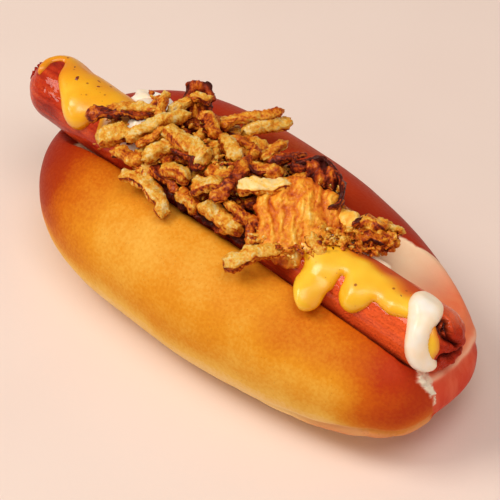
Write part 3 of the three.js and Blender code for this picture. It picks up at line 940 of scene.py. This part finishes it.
def yellow_height(plan):
    """How high the yellow sauce stands under a sauce that is poured over it."""
    inside, _ = inside_distance(plan, sauce_outline(YELLOW_OUTLINE))
    full = sauce_height(plan, np.maximum(inside, 0), YELLOW_THICKNESS, YELLOW_BULBS)
    return 0.8 * full * smoothstep(0, 5, inside) * (1 - FILM_THINNING * thinned(plan))


def drip_lean(arc, angle):
    """The biggest drip has run off the skin and over the bun's rim, so its lower end stands out."""
    share = gauss(arc - arc_at(41), 9) * smoothstep(math.radians(-48), math.radians(-92), angle)
    tip = share * smoothstep(math.radians(-70), math.radians(-104), angle)
    return np.column_stack([3.4 * tip, -4.3 * share - 4.0 * tip, 6.0 * share - 1.4 * tip])


def sauce(name, outline, thickness, bulbs, material, slot, spacing=0.45):
    """A sauce poured over the sausage. The white ones lie on the yellow one."""
    bm, plan, inside, upper = cut_sheet(sauce_outline(outline), spacing)
    height = sauce_height(plan, inside, thickness, bulbs)
    film = 0.5 * gauss(inside, 1.3)
    if name == "yellow_sauce":
        film = thinned(plan)
        height *= 1 - FILM_THINNING * film
    height *= 1 + 0.10 * lumps(flat(plan), 7, 4) + 0.04 * lumps(flat(plan), 2.5, 5)
    if slot == "white_sauce":
        height += yellow_height(plan)
    arc, girth = plan.T
    angle = girth / SAUSAGE_RADIUS
    height = np.where(upper, height, SAUCE_UNDERSIDE)
    move_points(bm.verts, on_sausage(arc, angle, height) + drip_lean(arc, angle))
    # Paler towards the head, and a paler patch on the tail's biggest drip that is a painted highlight.
    tail_drip = gauss(np.linalg.norm(plan - unrolled(-73, -38), axis=1), 8)
    finish_piece(name, bm, material, slot, edge=np.where(upper, gauss(inside, 1.6), 1), film=film,
                 towards_head=smoothstep(-70, 50, arc) + 0.9 * tail_drip)


def spice_flecks(material):
    bm = bmesh.new()
    for number, (x, degrees, radius) in enumerate(FLECKS, 1):
        add_crumb(bm, on_sausage(x, np.radians(degrees), 1.2)[0], radius, number, (1.3, 0.8, 0.6))
    finish_piece("spice_flecks", bm, material, "yellow_sauce", fleck=1)


def white_pool(material):
    """White sauce that fills the valley between the sausage's tail and the back of the bun."""
    bm = bmesh.new()
    unit_sphere(bm, around=64, along=48)
    ball = points_of(bm.verts)
    points = ball * (1 + 0.36 * lumps(ball, 0.9, 31))[:, None] * (8.0, 4.6, 2.9)
    move_points(bm.verts, turned(points, (math.radians(8), "Z")) + (-54.0, 11.6, 47.2))
    finish_piece("white_sauce_pool", bm, material, "white_sauce", edge=0)


def sauces():
    yellow, white = yellow_material(), white_material()
    sauce("yellow_sauce", YELLOW_OUTLINE, YELLOW_THICKNESS, YELLOW_BULBS, yellow, "yellow_sauce")
    sauce("yellow_sauce_head", HEAD_YELLOW_OUTLINE, 1.0, (), yellow, "yellow_sauce", spacing=0.35)
    sauce("white_sauce_head", WHITE_OUTLINE, 1.9, WHITE_BULBS, white, "white_sauce")
    sauce("white_sauce_tail", TAIL_WHITE_OUTLINE, 1.5, TAIL_WHITE_BULBS, white, "white_sauce")
    spice_flecks(yellow)
    white_pool(white)
    sauce("white_sauce_middle", MIDDLE_WHITE_OUTLINE, 1.5, MIDDLE_WHITE_BULBS, white, "white_sauce")


def yellow_material():
    yellow = Finish("yellow_sauce", Specular_IOR_Level=0.45, Coat_Roughness=0.2, Subsurface_Weight=0.2,
                    Subsurface_Radius=(1.0, 0.6, 0.15), Subsurface_Scale=0.0015)
    film, edge, towards_head, fleck = yellow.given("film", "edge", "towards_head", "fleck")
    # The yellow is paler towards the head, and paler on the tail's drip as a painted highlight.
    tone = (0.5 * yellow.mottle(13, 0.25, 0.75, 2) - 0.35 * edge + 0.5 * towards_head).clamped()
    colour = yellow.ramp(tone, ((0.0, (234, 146, 6)), (0.5, (246, 176, 14)), (1.0, (254, 206, 56))))
    # Where the sauce thins to a film on the back it turns orange, then brown: partly thin sauce over the red
    # skin, partly painted shade where it turns away from the lamps.
    colour = yellow.blend(colour, ((2.0 * film).clamped(), (232, 132, 18)),
                          ((2.0 * film - 1.0).clamped(), (200, 74, 16)),
                          (0.85 * yellow.specks(4.2, 0.6, 0.17), (150, 56, 10)),
                          (0.55 * yellow.specks(1.9, 0.3, 0.14), (150, 56, 10)), (fleck, (138, 46, 8)))
    grain = yellow.mottle(0.6, 0.4, 0.8, 1)
    roughness = (0.28 + 0.08 * grain + 0.5 * film).clamped()
    return yellow.done(colour, roughness, grain, 0.008, coat=0.3 * (1.0 - film))


def white_material():
    white = Finish("white_sauce", Specular_IOR_Level=0.4, Coat_Weight=0.3, Coat_Roughness=0.22,
                   Subsurface_Weight=0.25, Subsurface_Radius=(1.0, 0.7, 0.5), Subsurface_Scale=0.0015)
    tone = (white.mottle(8, 0.25, 0.75, 2) - 0.6 * white.given("edge")).clamped()
    colour = white.ramp(tone, ((0.0, (255, 228, 194)), (1.0, (255, 249, 241))))
    grain = white.mottle(0.5, 0.4, 0.8, 1)
    return white.done(colour, 0.3 + 0.08 * grain, grain, 0.006)


# ---------------------------------------------------------------- fried onions

GOLD, AMBER, BROWN, DARK = 0.28, 0.5, 0.74, 0.95
SMOOTH_TONE = 0.26                      # batter paler than this is smooth, without crumbs

# Straws that stand out: points of the path, width, thickness and tone.
STRAWS = (
    (((-58, -14.5, 55.8), (-53.5, -10, 57), (-48, -5.5, 57), (-42, 0.5, 56.6)), 5.0, 3.0, 0.78),
    (((-53.4, -8.2, 57.6), (-49.5, -4.8, 58.4), (-45.4, -1.4, 58.6), (-41.5, 1.6, 58.0)), 4.0, 2.6, 0.40),
    (((-37.4, -2.4, 57.8), (-40, 1.8, 59.4), (-42.6, 5.6, 59.8), (-44.2, 9.0, 59.0)), 2.9, 2.6, 0.36),
    (((-38, 4, 58), (-37, 12, 58)), 3.6, 3, GOLD),
    (((-40, -14, 56), (-37.5, -8, 57.5), (-35.5, -1, 59), (-31, 7, 58.5)), 4.6, 3.8, GOLD),
    (((-31, -5, 59.5), (-24, -5.3, 60.5), (-18, -5, 60), (-11, -5.2, 58)), 6.4, 5, GOLD),
    (((-35.5, -13.5, 56.5), (-33.5, -9.5, 58), (-32, -4.5, 58.5)), 3, 2.6, AMBER),
    (((-48, -18.5, 52.5), (-46, -14.5, 54.5), (-44, -9, 55.5)), 7, 4.4, GOLD),
    (((-42, -18.3, 52), (-36.5, -16.8, 53), (-30.5, -15, 53)), 5.4, 4.2, AMBER),
    (((-30.5, -15.3, 54.5), (-27.5, -11, 57), (-25, -5.5, 57.5)), 5.8, 4.4, GOLD),
    (((-35, -21.5, 49), (-29, -19.8, 49), (-23, -19.6, 48.5), (-17.5, -21, 47.5), (-13.5, -22.5, 45.5)),
     5.4, 3.6, GOLD),
    (((-33.5, -17, 50.5), (-28.5, -15, 51), (-21, -14.5, 51), (-14.5, -14, 50)), 3.6, 3.2, BROWN),
    (((-23, -14, 54), (-18, -13, 55), (-13, -12, 54)), 5.4, 4.6, GOLD),
    (((-14, -16, 50.5), (-9, -16.3, 51), (-4.5, -17, 50.5)), 5, 4.4, AMBER),
    (((-5, -16, 51), (1.5, -15.8, 52), (7, -15.5, 51.5), (12.5, -15.5, 50.5)), 5, 4.6, GOLD),
    (((-9.5, -15, 56), (-4.5, -13, 57.5), (-1, -9.5, 58)), 5.8, 4.4, GOLD),
    (((2, -17.5, 57.5), (2, -11, 60), (0.5, -3, 60.5), (-3, 4.5, 59)), 4.2, 3.4, BROWN),
    (((-18, 8, 56.5), (-11.5, 4.5, 58), (-5, 1.5, 57.5)), 5.4, 4.4, GOLD),
    (((-22, 11, 55.5), (-19.5, 17, 57.5), (-15, 23, 58), (-11.5, 29.5, 57)), 3.6, 3, AMBER),
    (((-16.5, 15.5, 54.5), (-13.5, 21.5, 55.5), (-9, 30, 54)), 5, 4.2, GOLD),
    (((5, -9.5, 60), (9.5, -5.5, 61), (13.5, -1, 61), (16.5, 3.5, 60.6)), 5.6, 3.6, 0.12),
    (((0.5, 7, 58), (0.8, 12.5, 59.5), (0.5, 17.5, 60)), 3.6, 3.2, AMBER),
    (((-1, 0.5, 57.5), (4, 3.2, 58.5), (9.5, 6.5, 58)), 5.2, 4.4, AMBER),
    (((-36.5, 11.5, 59.5), (-33.5, 13.5, 60.4), (-30.5, 15.2, 59.8)), 3.4, 2.6, GOLD),
    (((-28.5, 8, 57.6), (-25, 9.4, 58.6), (-20.6, 5, 57.6)), 4.6, 3.6, 0.54),
    (((2.5, 7.5, 58.5), (6, 11.5, 60), (9, 17.5, 59)), 3.2, 2.2, 0.8),
    (((-9.5, -6.7, 56.5), (-4, -6.7, 57.5), (-1.5, -3, 57)), 5.2, 4.4, AMBER),
    (((3.5, -13, 56.5), (9, -12.2, 55), (14, -12.5, 53), (17, -15, 51.5), (18.5, -17.5, 50)),
     3.2, 2.8, AMBER),
    (((18, -28, 47.5), (20.5, -24, 49.8), (23.5, -19, 51.5), (28, -14, 52)), 5.4, 4.2, GOLD),
    (((-6, 8, 57.5), (-1.5, 7, 58)), 4.4, 3.6, AMBER),
    (((8, -1, 57), (14, 6, 58), (17, 12, 57.5)), 4.6, 3.8, AMBER),
    (((-50, -4, 54.8), (-46, 0, 55.4), (-41, 3, 55.5)), 4.4, 3.0, AMBER),
    (((-28, 12, 56.5), (-23, 8, 58), (-18, 5.5, 58)), 4.4, 3.6, AMBER),
    (((31, 10, 54.2), (35, 8.6, 55), (39.4, 6.6, 54.6)), 6.4, 3.8, 0.24),
    (((40, 9.5, 55.6), (43.6, 11.2, 56.8), (47.6, 11.6, 55.6)), 5.8, 4.4, 0.42),
    (((43.5, 5, 54.2), (47, 7.6, 55), (50.8, 8.8, 53.6)), 4.4, 3.6, 0.62),
    # A thin dark strip in the crack between two chunks: painted shade.
    (((39.4, 6.4, 55.6), (40.4, 9, 56.6), (39.8, 12.4, 56.2)), 1.6, 2.2, DARK),
    (((45, 13.2, 54.6), (48.5, 15, 54.8), (52.2, 15.4, 54)), 3, 2.4, 0.38),
)

# Thin crisp curls standing on edge: points of the path, height, thickness and tone.
CURLS = (
    (((9, 9.5, 58.6), (11.5, 15, 59.6), (15, 18.2, 60), (19.5, 18.4, 60.2), (24.5, 16.3, 60),
      (28.6, 13, 59.5), (31, 8.8, 58.6), (29.5, 5.5, 57)), 3.0, 1.7, 0.93),
    (((-24, -9, 57.5), (-20, -9.5, 58.5), (-16, -8.5, 58), (-12, -10, 57.5)), 3.4, 1.5, BROWN),
    (((5, 9.5, 58.5), (8.5, 12.5, 60), (11, 10, 60), (14.5, 13, 59.5)), 3.0, 1.6, 0.7),
    (((-6, -3, 58), (-1, 1, 59.5), (4, 0.5, 59.5), (8, 4, 58.5)), 3, 1.4, BROWN),
)


def straw(bm, path, width, thickness, tone, number, around, spacing, standing):
    """One battered straw along a path. Gives the tone of its vertices, with painted shade on its underside
    and in its hollows and painted light on its bumps.
    """
    path = curve_through(path, 40)
    length = np.linalg.norm(np.diff(path, axis=0), axis=1).sum()
    made, share, turn = unit_sphere(bm, around, max(int(length / spacing), 12))
    knots = np.linspace(0, 1, 40)
    place, tangent = (np.column_stack([np.interp(share, knots, column) for column in rows.T])
                      for rows in (path, np.gradient(path, axis=0)))
    tangent /= np.linalg.norm(tangent, axis=1)[:, None]
    marks = np.column_stack([share * length, np.full(len(share), 9.0 * number), np.zeros(len(share))])
    place += 0.8 * np.column_stack([lumps(marks, 6, seed) for seed in (1, 2, 3)])
    side = np.cross(tangent, (0, 0, 1))
    side /= np.linalg.norm(side, axis=1)[:, None]
    up = np.cross(side, tangent)
    roll = (0.8 * lumps(marks, 9, 4) + (math.pi / 2 if standing else 0))[:, None]
    side, up = side * np.cos(roll) + up * np.sin(roll), up * np.cos(roll) - side * np.sin(roll)
    bluntness = 5 + 9 * (0.618 * number % 1)
    end = np.sqrt(np.maximum(1 - np.abs(2 * share - 1) ** bluntness, 0))
    across, high = (np.sign(part) * np.abs(part) ** 0.7 for part in (np.cos(turn), np.sin(turn)))
    half_width = width / 2 * end * (1 + (0.40 if standing else 0.32) * lumps(marks, 3.5, 5, 2))
    half_height = thickness / 2 * end * (1 + 0.28 * lumps(marks, 3, 6, 2))
    points = place + side * (half_width * across)[:, None] + up * (half_height * high)[:, None]
    swelling, knobs = lumps(points, 2.8, number * 0.37), lumps(points, 1.7, number * 0.17 + 3)
    flakes, grit = creased(points, 1.3, number * 0.21 + 5), lumps(points, 0.85, number * 0.13 + 9, 2)
    relief = min(thickness / 2.6, 1) * (0.5 * swelling + 0.34 * knobs + 0.13 * flakes + 0.26 * grit)
    relief *= 0.75 if tone < SMOOTH_TONE else 1
    points += (side * np.cos(turn)[:, None] + up * np.sin(turn)[:, None]) * (relief * end)[:, None]
    tips = gauss(np.minimum(share, 1 - share) * length, 1.8)
    points += tangent * (1.3 * tips * lumps(points, 1.6, number, 2))[:, None]
    move_points(made, points)
    patches = (0.10 + 0.30 * tone ** 2) * lumps(points, 3.6, 9, 2)
    # Paler where the batter stands out and darker in its hollows: painted light and shade.
    patches -= 0.10 * swelling + 0.10 * knobs + 0.12 * grit
    # Darker on the underside: painted shade; the browner corners are the batter's own.
    corners, flanks = np.abs(np.sin(2 * turn)) ** 4, smoothstep(0.45, -0.6, np.sin(turn))
    return tone + patches * (0.8 if tone < SMOOTH_TONE else 1) + 0.05 * corners + 0.10 * tips + 0.20 * flanks


def straws_piece(name, straws, around=28, spacing=0.42, standing=False, first_number=1):
    bm = bmesh.new()
    tones = [straw(bm, *given, number, around, spacing, standing)
             for number, given in enumerate(straws, first_number)]
    smooth = [np.full(len(part), given[3] < SMOOTH_TONE) for part, given in zip(tones, straws)]
    # The tone carries painted shade deep in the heap and painted light on its top.
    finish_piece(name, bm, BATTER, "fried_batter", smooth=np.concatenate(smooth),
                 tone=np.concatenate(tones) + sunk(points_of(bm.verts)))


def heap_height(x, y):
    """The top of the heap's core over a place on the bun."""
    along = (x - (HEAP_TAIL_X + HEAP_HEAD_X) / 2) / ((HEAP_HEAD_X - HEAP_TAIL_X) / 2)
    across = (y - HEAP_Y) / HEAP_HALF_WIDTH
    dome = np.maximum(1 - np.abs(along) ** 4 - np.abs(across) ** 2.6, 0) ** 0.4
    return lerp(HEAP_SKIRT, HEAP_TOP, dome)


def sunk(points):
    """Painted shade for batter that lies deep between its neighbours, and painted light for batter on top of
    them.
    """
    above = points[:, 2] - heap_height(points[:, 0], points[:, 1])
    return 0.05 * np.clip(1.8 - above, -2.2, 4)


def heap_core():
    """Crumbled batter that fills the heap between the straws and the sausage."""
    bm = bmesh.new()
    unit_sphere(bm, around=150, along=170)
    x, y, z = points_of(bm.verts).T
    x = x * (HEAP_HEAD_X - HEAP_TAIL_X - 6) / 2 + (HEAP_HEAD_X + HEAP_TAIL_X) / 2
    y = y * (HEAP_HALF_WIDTH - 2) + HEAP_Y
    top = heap_height(x, y) - 2.8
    z = np.where(z > 0, lerp(HEAP_SKIRT + 2, top, np.clip(z * 1.6, 0, 1)), HEAP_SKIRT + 2 + 3 * z)
    points = np.column_stack([x, y, z])
    knobs = 0.7 * creased(points, 4, 2) + 0.5 * creased(points, 1.9, 6)
    points += normals_of(bm) * knobs[:, None]
    move_points(bm.verts, points)
    # The core is dark brown, partly the crumbled batter's own colour and partly painted shade in the gaps
    # between the straws, and lighter where it stands out, as painted light.
    finish_piece("onion_core", bm, BATTER, "fried_batter", ["fried_onions"],
                 tone=0.92 - 0.14 * knobs + 0.1 * lumps(points, 8, 3))


def under_straws():
    """Shorter straws in crossing directions, spread over the core."""
    rng = random.Random(23)
    straws = []
    rows, columns = 12, 5
    tones = (GOLD, GOLD, AMBER, AMBER, 0.6)
    for row in range(rows):
        for column in range(columns):
            x = lerp(HEAP_TAIL_X + 8, HEAP_HEAD_X - 8, (row + rng.random()) / rows)
            narrow = 1 - 0.5 * abs(2 * (x - HEAP_TAIL_X) / (HEAP_HEAD_X - HEAP_TAIL_X) - 1) ** 3
            across = 2 * (column + 0.2 + 0.6 * rng.random()) / columns - 1
            y = HEAP_Y + 0.92 * HEAP_HALF_WIDTH * narrow * across
            heading = math.radians(rng.uniform(-75, 75) + (30 if column % 2 else -20))
            half = rng.uniform(4.5, 8)
            step = np.array([math.cos(heading), math.sin(heading)]) * half
            bow = np.array([-step[1], step[0]]) * rng.uniform(-0.35, 0.35)
            ends = [np.array([x, y]) - step, np.array([x, y]) + bow, np.array([x, y]) + step]
            lift = rng.uniform(-1.8, 0.2)
            if x < -43 or x > 16 and y < -6:
                continue
            path = tuple((px, py, float(heap_height(px, py)) + lift) for px, py in ends)
            straws.append((path, rng.uniform(3.2, 5.2), rng.uniform(2.8, 4), rng.choice(tones)))
    return straws


# Outlines of thin sheets of batter, in the sheet's own millimetres: across the view and up it.
BROAD = ((-13, 6.8), (-7, 8.6), (-1, 13), (6, 10.2), (12.6, 6.2), (13.4, 0.5), (12.8, -4.8), (9.4, -12.6),
         (3, -16), (-4.8, -17), (-9.5, -12.6), (-12.6, -9), (-14, -1))
HEAD_DARK = ((-6.9, 7.2), (-1.8, 7.4), (2.4, 5.0), (5.0, 0.7), (5.8, -3.3), (4.4, -7.1), (0.6, -6.6),
             (-2.8, -4.0), (-5.6, 1.0))
TAIL_DARK = ((-4.4, 7.2), (2.2, 6.4), (4.6, 2.4), (3.2, -1.8), (4.4, -6.4), (-1.8, -7.2), (-5.2, -3.5),
             (-5.4, 3.3))
# The sheets: name, outline, middle, turn, tilt, tone, and how strongly it is folded.
SHEETS = (
    ("crisp_sheet", BROAD, (25, -2, 57.2), 44, 30, 0.37, 1.15),
    # The two dark sheets are partly dark-fried batter, partly painted shade deep in the heap.
    ("dark_crisp_head", HEAD_DARK, (22.4, 12.8, 58.4), 40, 32, 0.80, 1.6),
    ("dark_crisp_tail", TAIL_DARK, (-34.4, 14.2, 57.2), 36, 52, 0.64, 1.6))
SHEET_GRID = 0.27


def crisp_sheet(name, outline, middle, yaw, roll, tone, crumpled):
    """A thin crisp sheet of batter with soft folds that run down its slope, and a grainy skin."""
    seed = 3 * len(outline)
    outline = ragged(curve_through(outline, 380, closed=True), 2.6, 1.2, seed)
    bm, plan, inside, upper = cut_sheet(outline, SHEET_GRID)
    a, b = plan.T
    warped = a + 2.2 * lumps(flat(plan), 9, seed + 1) + 0.6 * lumps(flat(plan), 3, seed + 2)
    slope = flat(np.column_stack([warped, lerp(0.14, 0.6, crumpled - 1) * b]))
    folds = lumps(slope, 5.0 / crumpled, seed + 3, 2)
    fibres = creased(flat(np.column_stack([warped, 0.35 * b])), 1.9, seed + 4)
    grit = lumps(flat(plan) * (1, 0.8, 1), 0.9, seed + 5, 2)
    relief = 1.5 * crumpled * folds + 0.16 * fibres + 0.10 * lumps(flat(plan) * (1, 0.6, 1), 1.5, seed + 7)
    thickness = (0.3 + 0.7 * np.sqrt(np.clip(inside, 0, 1))) * (0.95 + 0.26 * grit)
    height = relief + np.where(upper, thickness, -thickness) - 0.012 * a * a - 0.012 * b * b
    turns = (math.radians(yaw), "Z"), (math.radians(roll), "X")
    move_points(bm.verts, turned(np.column_stack([a, b, height]), *turns) + middle)
    # Paler where the folds, fibres and grit stand out and darker between them: painted light and shade.
    shade = tone - 0.30 * crumpled * folds - 0.08 * fibres - 0.09 * grit + 0.14 * gauss(inside, 0.8)
    finish_piece(name, bm, BATTER, "fried_batter", tone=shade + 0.08 * lumps(flat(plan), 6, seed + 8),
                 smooth=2 - crumpled)


# Crumbling chunks at the head end of the heap: middle, radius, stretch and tone.
CHUNKS = (
    ((37.4, 3.2, 53.8), 2.6, (1.2, 0.9, 0.8), 0.50), ((39.8, 4.8, 54.2), 2.3, (1.2, 1.0, 0.8), 0.46),
    ((43.0, 6.6, 54.0), 2.2, (1.1, 0.9, 0.9), 0.58), ((45.4, 13.0, 54.2), 2.6, (1.2, 0.9, 0.8), 0.48),
    ((49.4, 9.6, 52.8), 3.2, (1.0, 1.1, 0.9), 0.60), ((50.2, 12.4, 52.6), 2.2, (1.3, 0.9, 0.8), 0.66),
    ((47.4, 5.4, 52.8), 2.2, (1.1, 1.0, 0.8), 0.64), ((44.6, 2.8, 53.0), 1.9, (1.1, 0.9, 0.8), 0.70),
    ((41.0, 1.0, 53.6), 2.0, (1.2, 0.9, 0.8), 0.56))


def batter_chunks():
    bm = bmesh.new()
    tones = []
    for number, (middle, radius, stretch, tone) in enumerate(CHUNKS, 1):
        relief = add_crumb(bm, middle, radius, 0.7 * number, stretch, 0.44, subdivisions=5)
        # Lighter where the chunk stands out and darker in its hollows: painted light and shade.
        tones.append(tone - 0.06 - 0.35 * relief)
    points = points_of(bm.verts)
    crumble = 0.75 * lumps(points, 2.2, 3, 3) + 0.10 * creased(points, 1.1, 5)
    move_points(bm.verts, points + normals_of(bm) * crumble[:, None])
    # The crumbled relief is painted lighter where it stands out and darker in its hollows: painted light and
    # shade.
    finish_piece("batter_chunks", bm, BATTER, "fried_batter",
                 tone=np.concatenate(tones) - 0.26 * crumble + 0.2 * lumps(points, 3, 8))


# Places where crumbs have gathered: middle, spread and count.
CRUMB_HEAPS = (
    ((-9, -4.5, 58.4), 4.0, 30), ((-22, -1, 57.6), 4.0, 16), ((44.5, 3.5, 53.2), 3.4, 16),
    ((48, 9, 53.2), 4.0, 8), ((-38, 14, 57.5), 3.0, 12), ((-54, -10, 56), 3.2, 16),
    ((18, -14, 52), 4.0, 20), ((31, -12.5, 53), 5.0, 18),
    ((38, -3.5, 54.2), 3.6, 16), ((22.5, 12.5, 59.2), 4.4, 14))
STREWN_CRUMBS = 200


def batter_crumbs():
    """Small crumbs of batter, gathered in places and strewn between the straws."""
    rng = random.Random(5)
    bm = bmesh.new()
    places = [[rng.gauss(at, spread / 2) for at in middle[:2]] + [middle[2] + rng.uniform(-0.6, 0.6)]
              for middle, spread, count in CRUMB_HEAPS for _ in range(count)]
    for _ in range(STREWN_CRUMBS):
        x = rng.uniform(HEAP_TAIL_X + 6, HEAP_HEAD_X + 2)
        y = HEAP_Y + rng.uniform(-0.85, 0.85) * HEAP_HALF_WIDTH
        places.append([x, y, float(heap_height(x, y)) + rng.uniform(0, 1.2)])
    tones = []
    for number, place in enumerate(places):
        stretch = (rng.uniform(1.0, 1.7), rng.uniform(0.7, 1.1), rng.uniform(0.5, 0.9))
        relief = add_crumb(bm, place, rng.uniform(0.35, 1.0), number * 0.31, stretch, 0.55)
        # Lighter where the crumb stands out and darker in its hollows: painted light and shade.
        tones.append(rng.choice((GOLD, 0.4, AMBER, 0.7)) - 0.4 * relief)
    finish_piece("batter_crumbs", bm, BATTER, "fried_batter", tone=np.concatenate(tones))


def batter_material():
    batter = Finish("fried_batter", Specular_IOR_Level=0.16, Coat_Weight=0.16, Coat_Roughness=0.16,
                    Subsurface_Weight=0.1, Subsurface_Radius=(1.0, 0.55, 0.2), Subsurface_Scale=0.0012)
    tone, smooth = batter.given("tone", "smooth")
    grainy = 1.0 - 0.7 * smooth
    for size, amount in ((3.2, 0.24), (1.4, 0.18), (0.7, 0.10)):
        tone += amount * (batter.mottle(size, 0.3, 0.7, 2) - 0.5) * grainy
    colour = batter.ramp(tone, (
        (0.0, (255, 222, 150)), (0.16, (255, 198, 80)), (0.32, (246, 163, 43)), (0.50, (222, 112, 16)),
        (0.68, (174, 60, 9)), (0.85, (108, 26, 5)), (1.0, (74, 17, 5))))
    colour = batter.blend(colour, (0.35 * batter.specks(1.3, 0.16, 0.24), (150, 58, 10)))
    fine = batter.mottle(0.42, 0.3, 0.75, 3)
    return batter.done(colour, 0.34 + 0.25 * fine, fine * grainy, 0.28)


BATTER = batter_material()


def fried_onions():
    heap_core()
    straws_piece("onion_straws_under", under_straws(), around=20, spacing=0.6, first_number=101)
    straws_piece("onion_straws", STRAWS)
    straws_piece("crisp_curls", CURLS, standing=True, first_number=61)
    for sheet in SHEETS:
        crisp_sheet(*sheet)
    batter_chunks()
    batter_crumbs()


# ---------------------------------------------------------------- camera, lights and floor

CAMERA_AZIMUTH = 44                     # degrees round from a straight view of the bun's front
CAMERA_ELEVATION = 44.05
CAMERA_LENS = 146.2
CAMERA_DISTANCE = 695
LOOK_AT = (-16.05, 18.42, 0)            # the spot of the table in the middle of the view


def direction(azimuth, elevation):
    """From the bun towards something at that azimuth and height, in degrees."""
    a, e = math.radians(azimuth), math.radians(elevation)
    return Vector((math.sin(a) * math.cos(e), -math.cos(a) * math.cos(e), math.sin(e)))


def camera():
    data = bpy.data.cameras.new("camera")
    data.lens = CAMERA_LENS
    data.sensor_width = 36
    made = placed("camera", data)
    back = direction(CAMERA_AZIMUTH, CAMERA_ELEVATION)
    made.location = ORIGIN + Vector(LOOK_AT) * MM + back * CAMERA_DISTANCE * MM
    made.rotation_euler = (-back).to_track_quat("-Z", "Y").to_euler()
    bpy.context.scene.camera = made


def area_light(name, azimuth, elevation, distance, size, power, colour):
    data = bpy.data.lights.new(name, "AREA")
    data.shape = "SQUARE"
    data.size = size
    data.energy = power
    data.color = colour
    made = placed(name, data)
    towards = direction(azimuth, elevation)
    made.location = ORIGIN + towards * distance
    made.rotation_euler = towards.to_track_quat("Z", "Y").to_euler()


def studio():
    area_light("key_light", -46, 52, 1.6, 0.7, 13.4, (1.0, 0.93, 0.84))
    area_light("low_light", -33, 23, 1.2, 0.2, 1.3, (1.0, 0.94, 0.86))
    area_light("top_light", 60, 72, 1.4, 0.9, 8.4, (1.0, 0.94, 0.88))
    area_light("fill_light", 100, 20, 1.2, 1.0, 2.2, (1.0, 0.78, 0.68))
    world = bpy.data.worlds.new("studio")
    world.use_nodes = True
    background = world.node_tree.nodes["Background"].inputs
    background["Color"].default_value = (1.0, 0.93, 0.88, 1)
    background["Strength"].default_value = 0.22
    bpy.context.scene.world = world
    bpy.context.scene.view_settings.view_transform = "Standard"


def floor():
    bm = bmesh.new()
    bmesh.ops.create_grid(bm, x_segments=1, y_segments=1, size=3)
    mesh = mesh_from(bm, "floor")
    table = Finish("pale_table")
    cloud, grain = table.mottle(120, 0.2, 0.8, 2), table.mottle(0.8, 0.3, 0.7, 2)
    colour = table.ramp(cloud, ((0.0, (236, 216, 206)), (1.0, (240, 222, 212))))
    mesh.materials.append(table.done(colour, 0.55 + 0.1 * grain, grain, 0.01))
    made = placed("floor", mesh)


camera()
studio()
floor()
bun()
sausage()
sauces()
fried_onions()
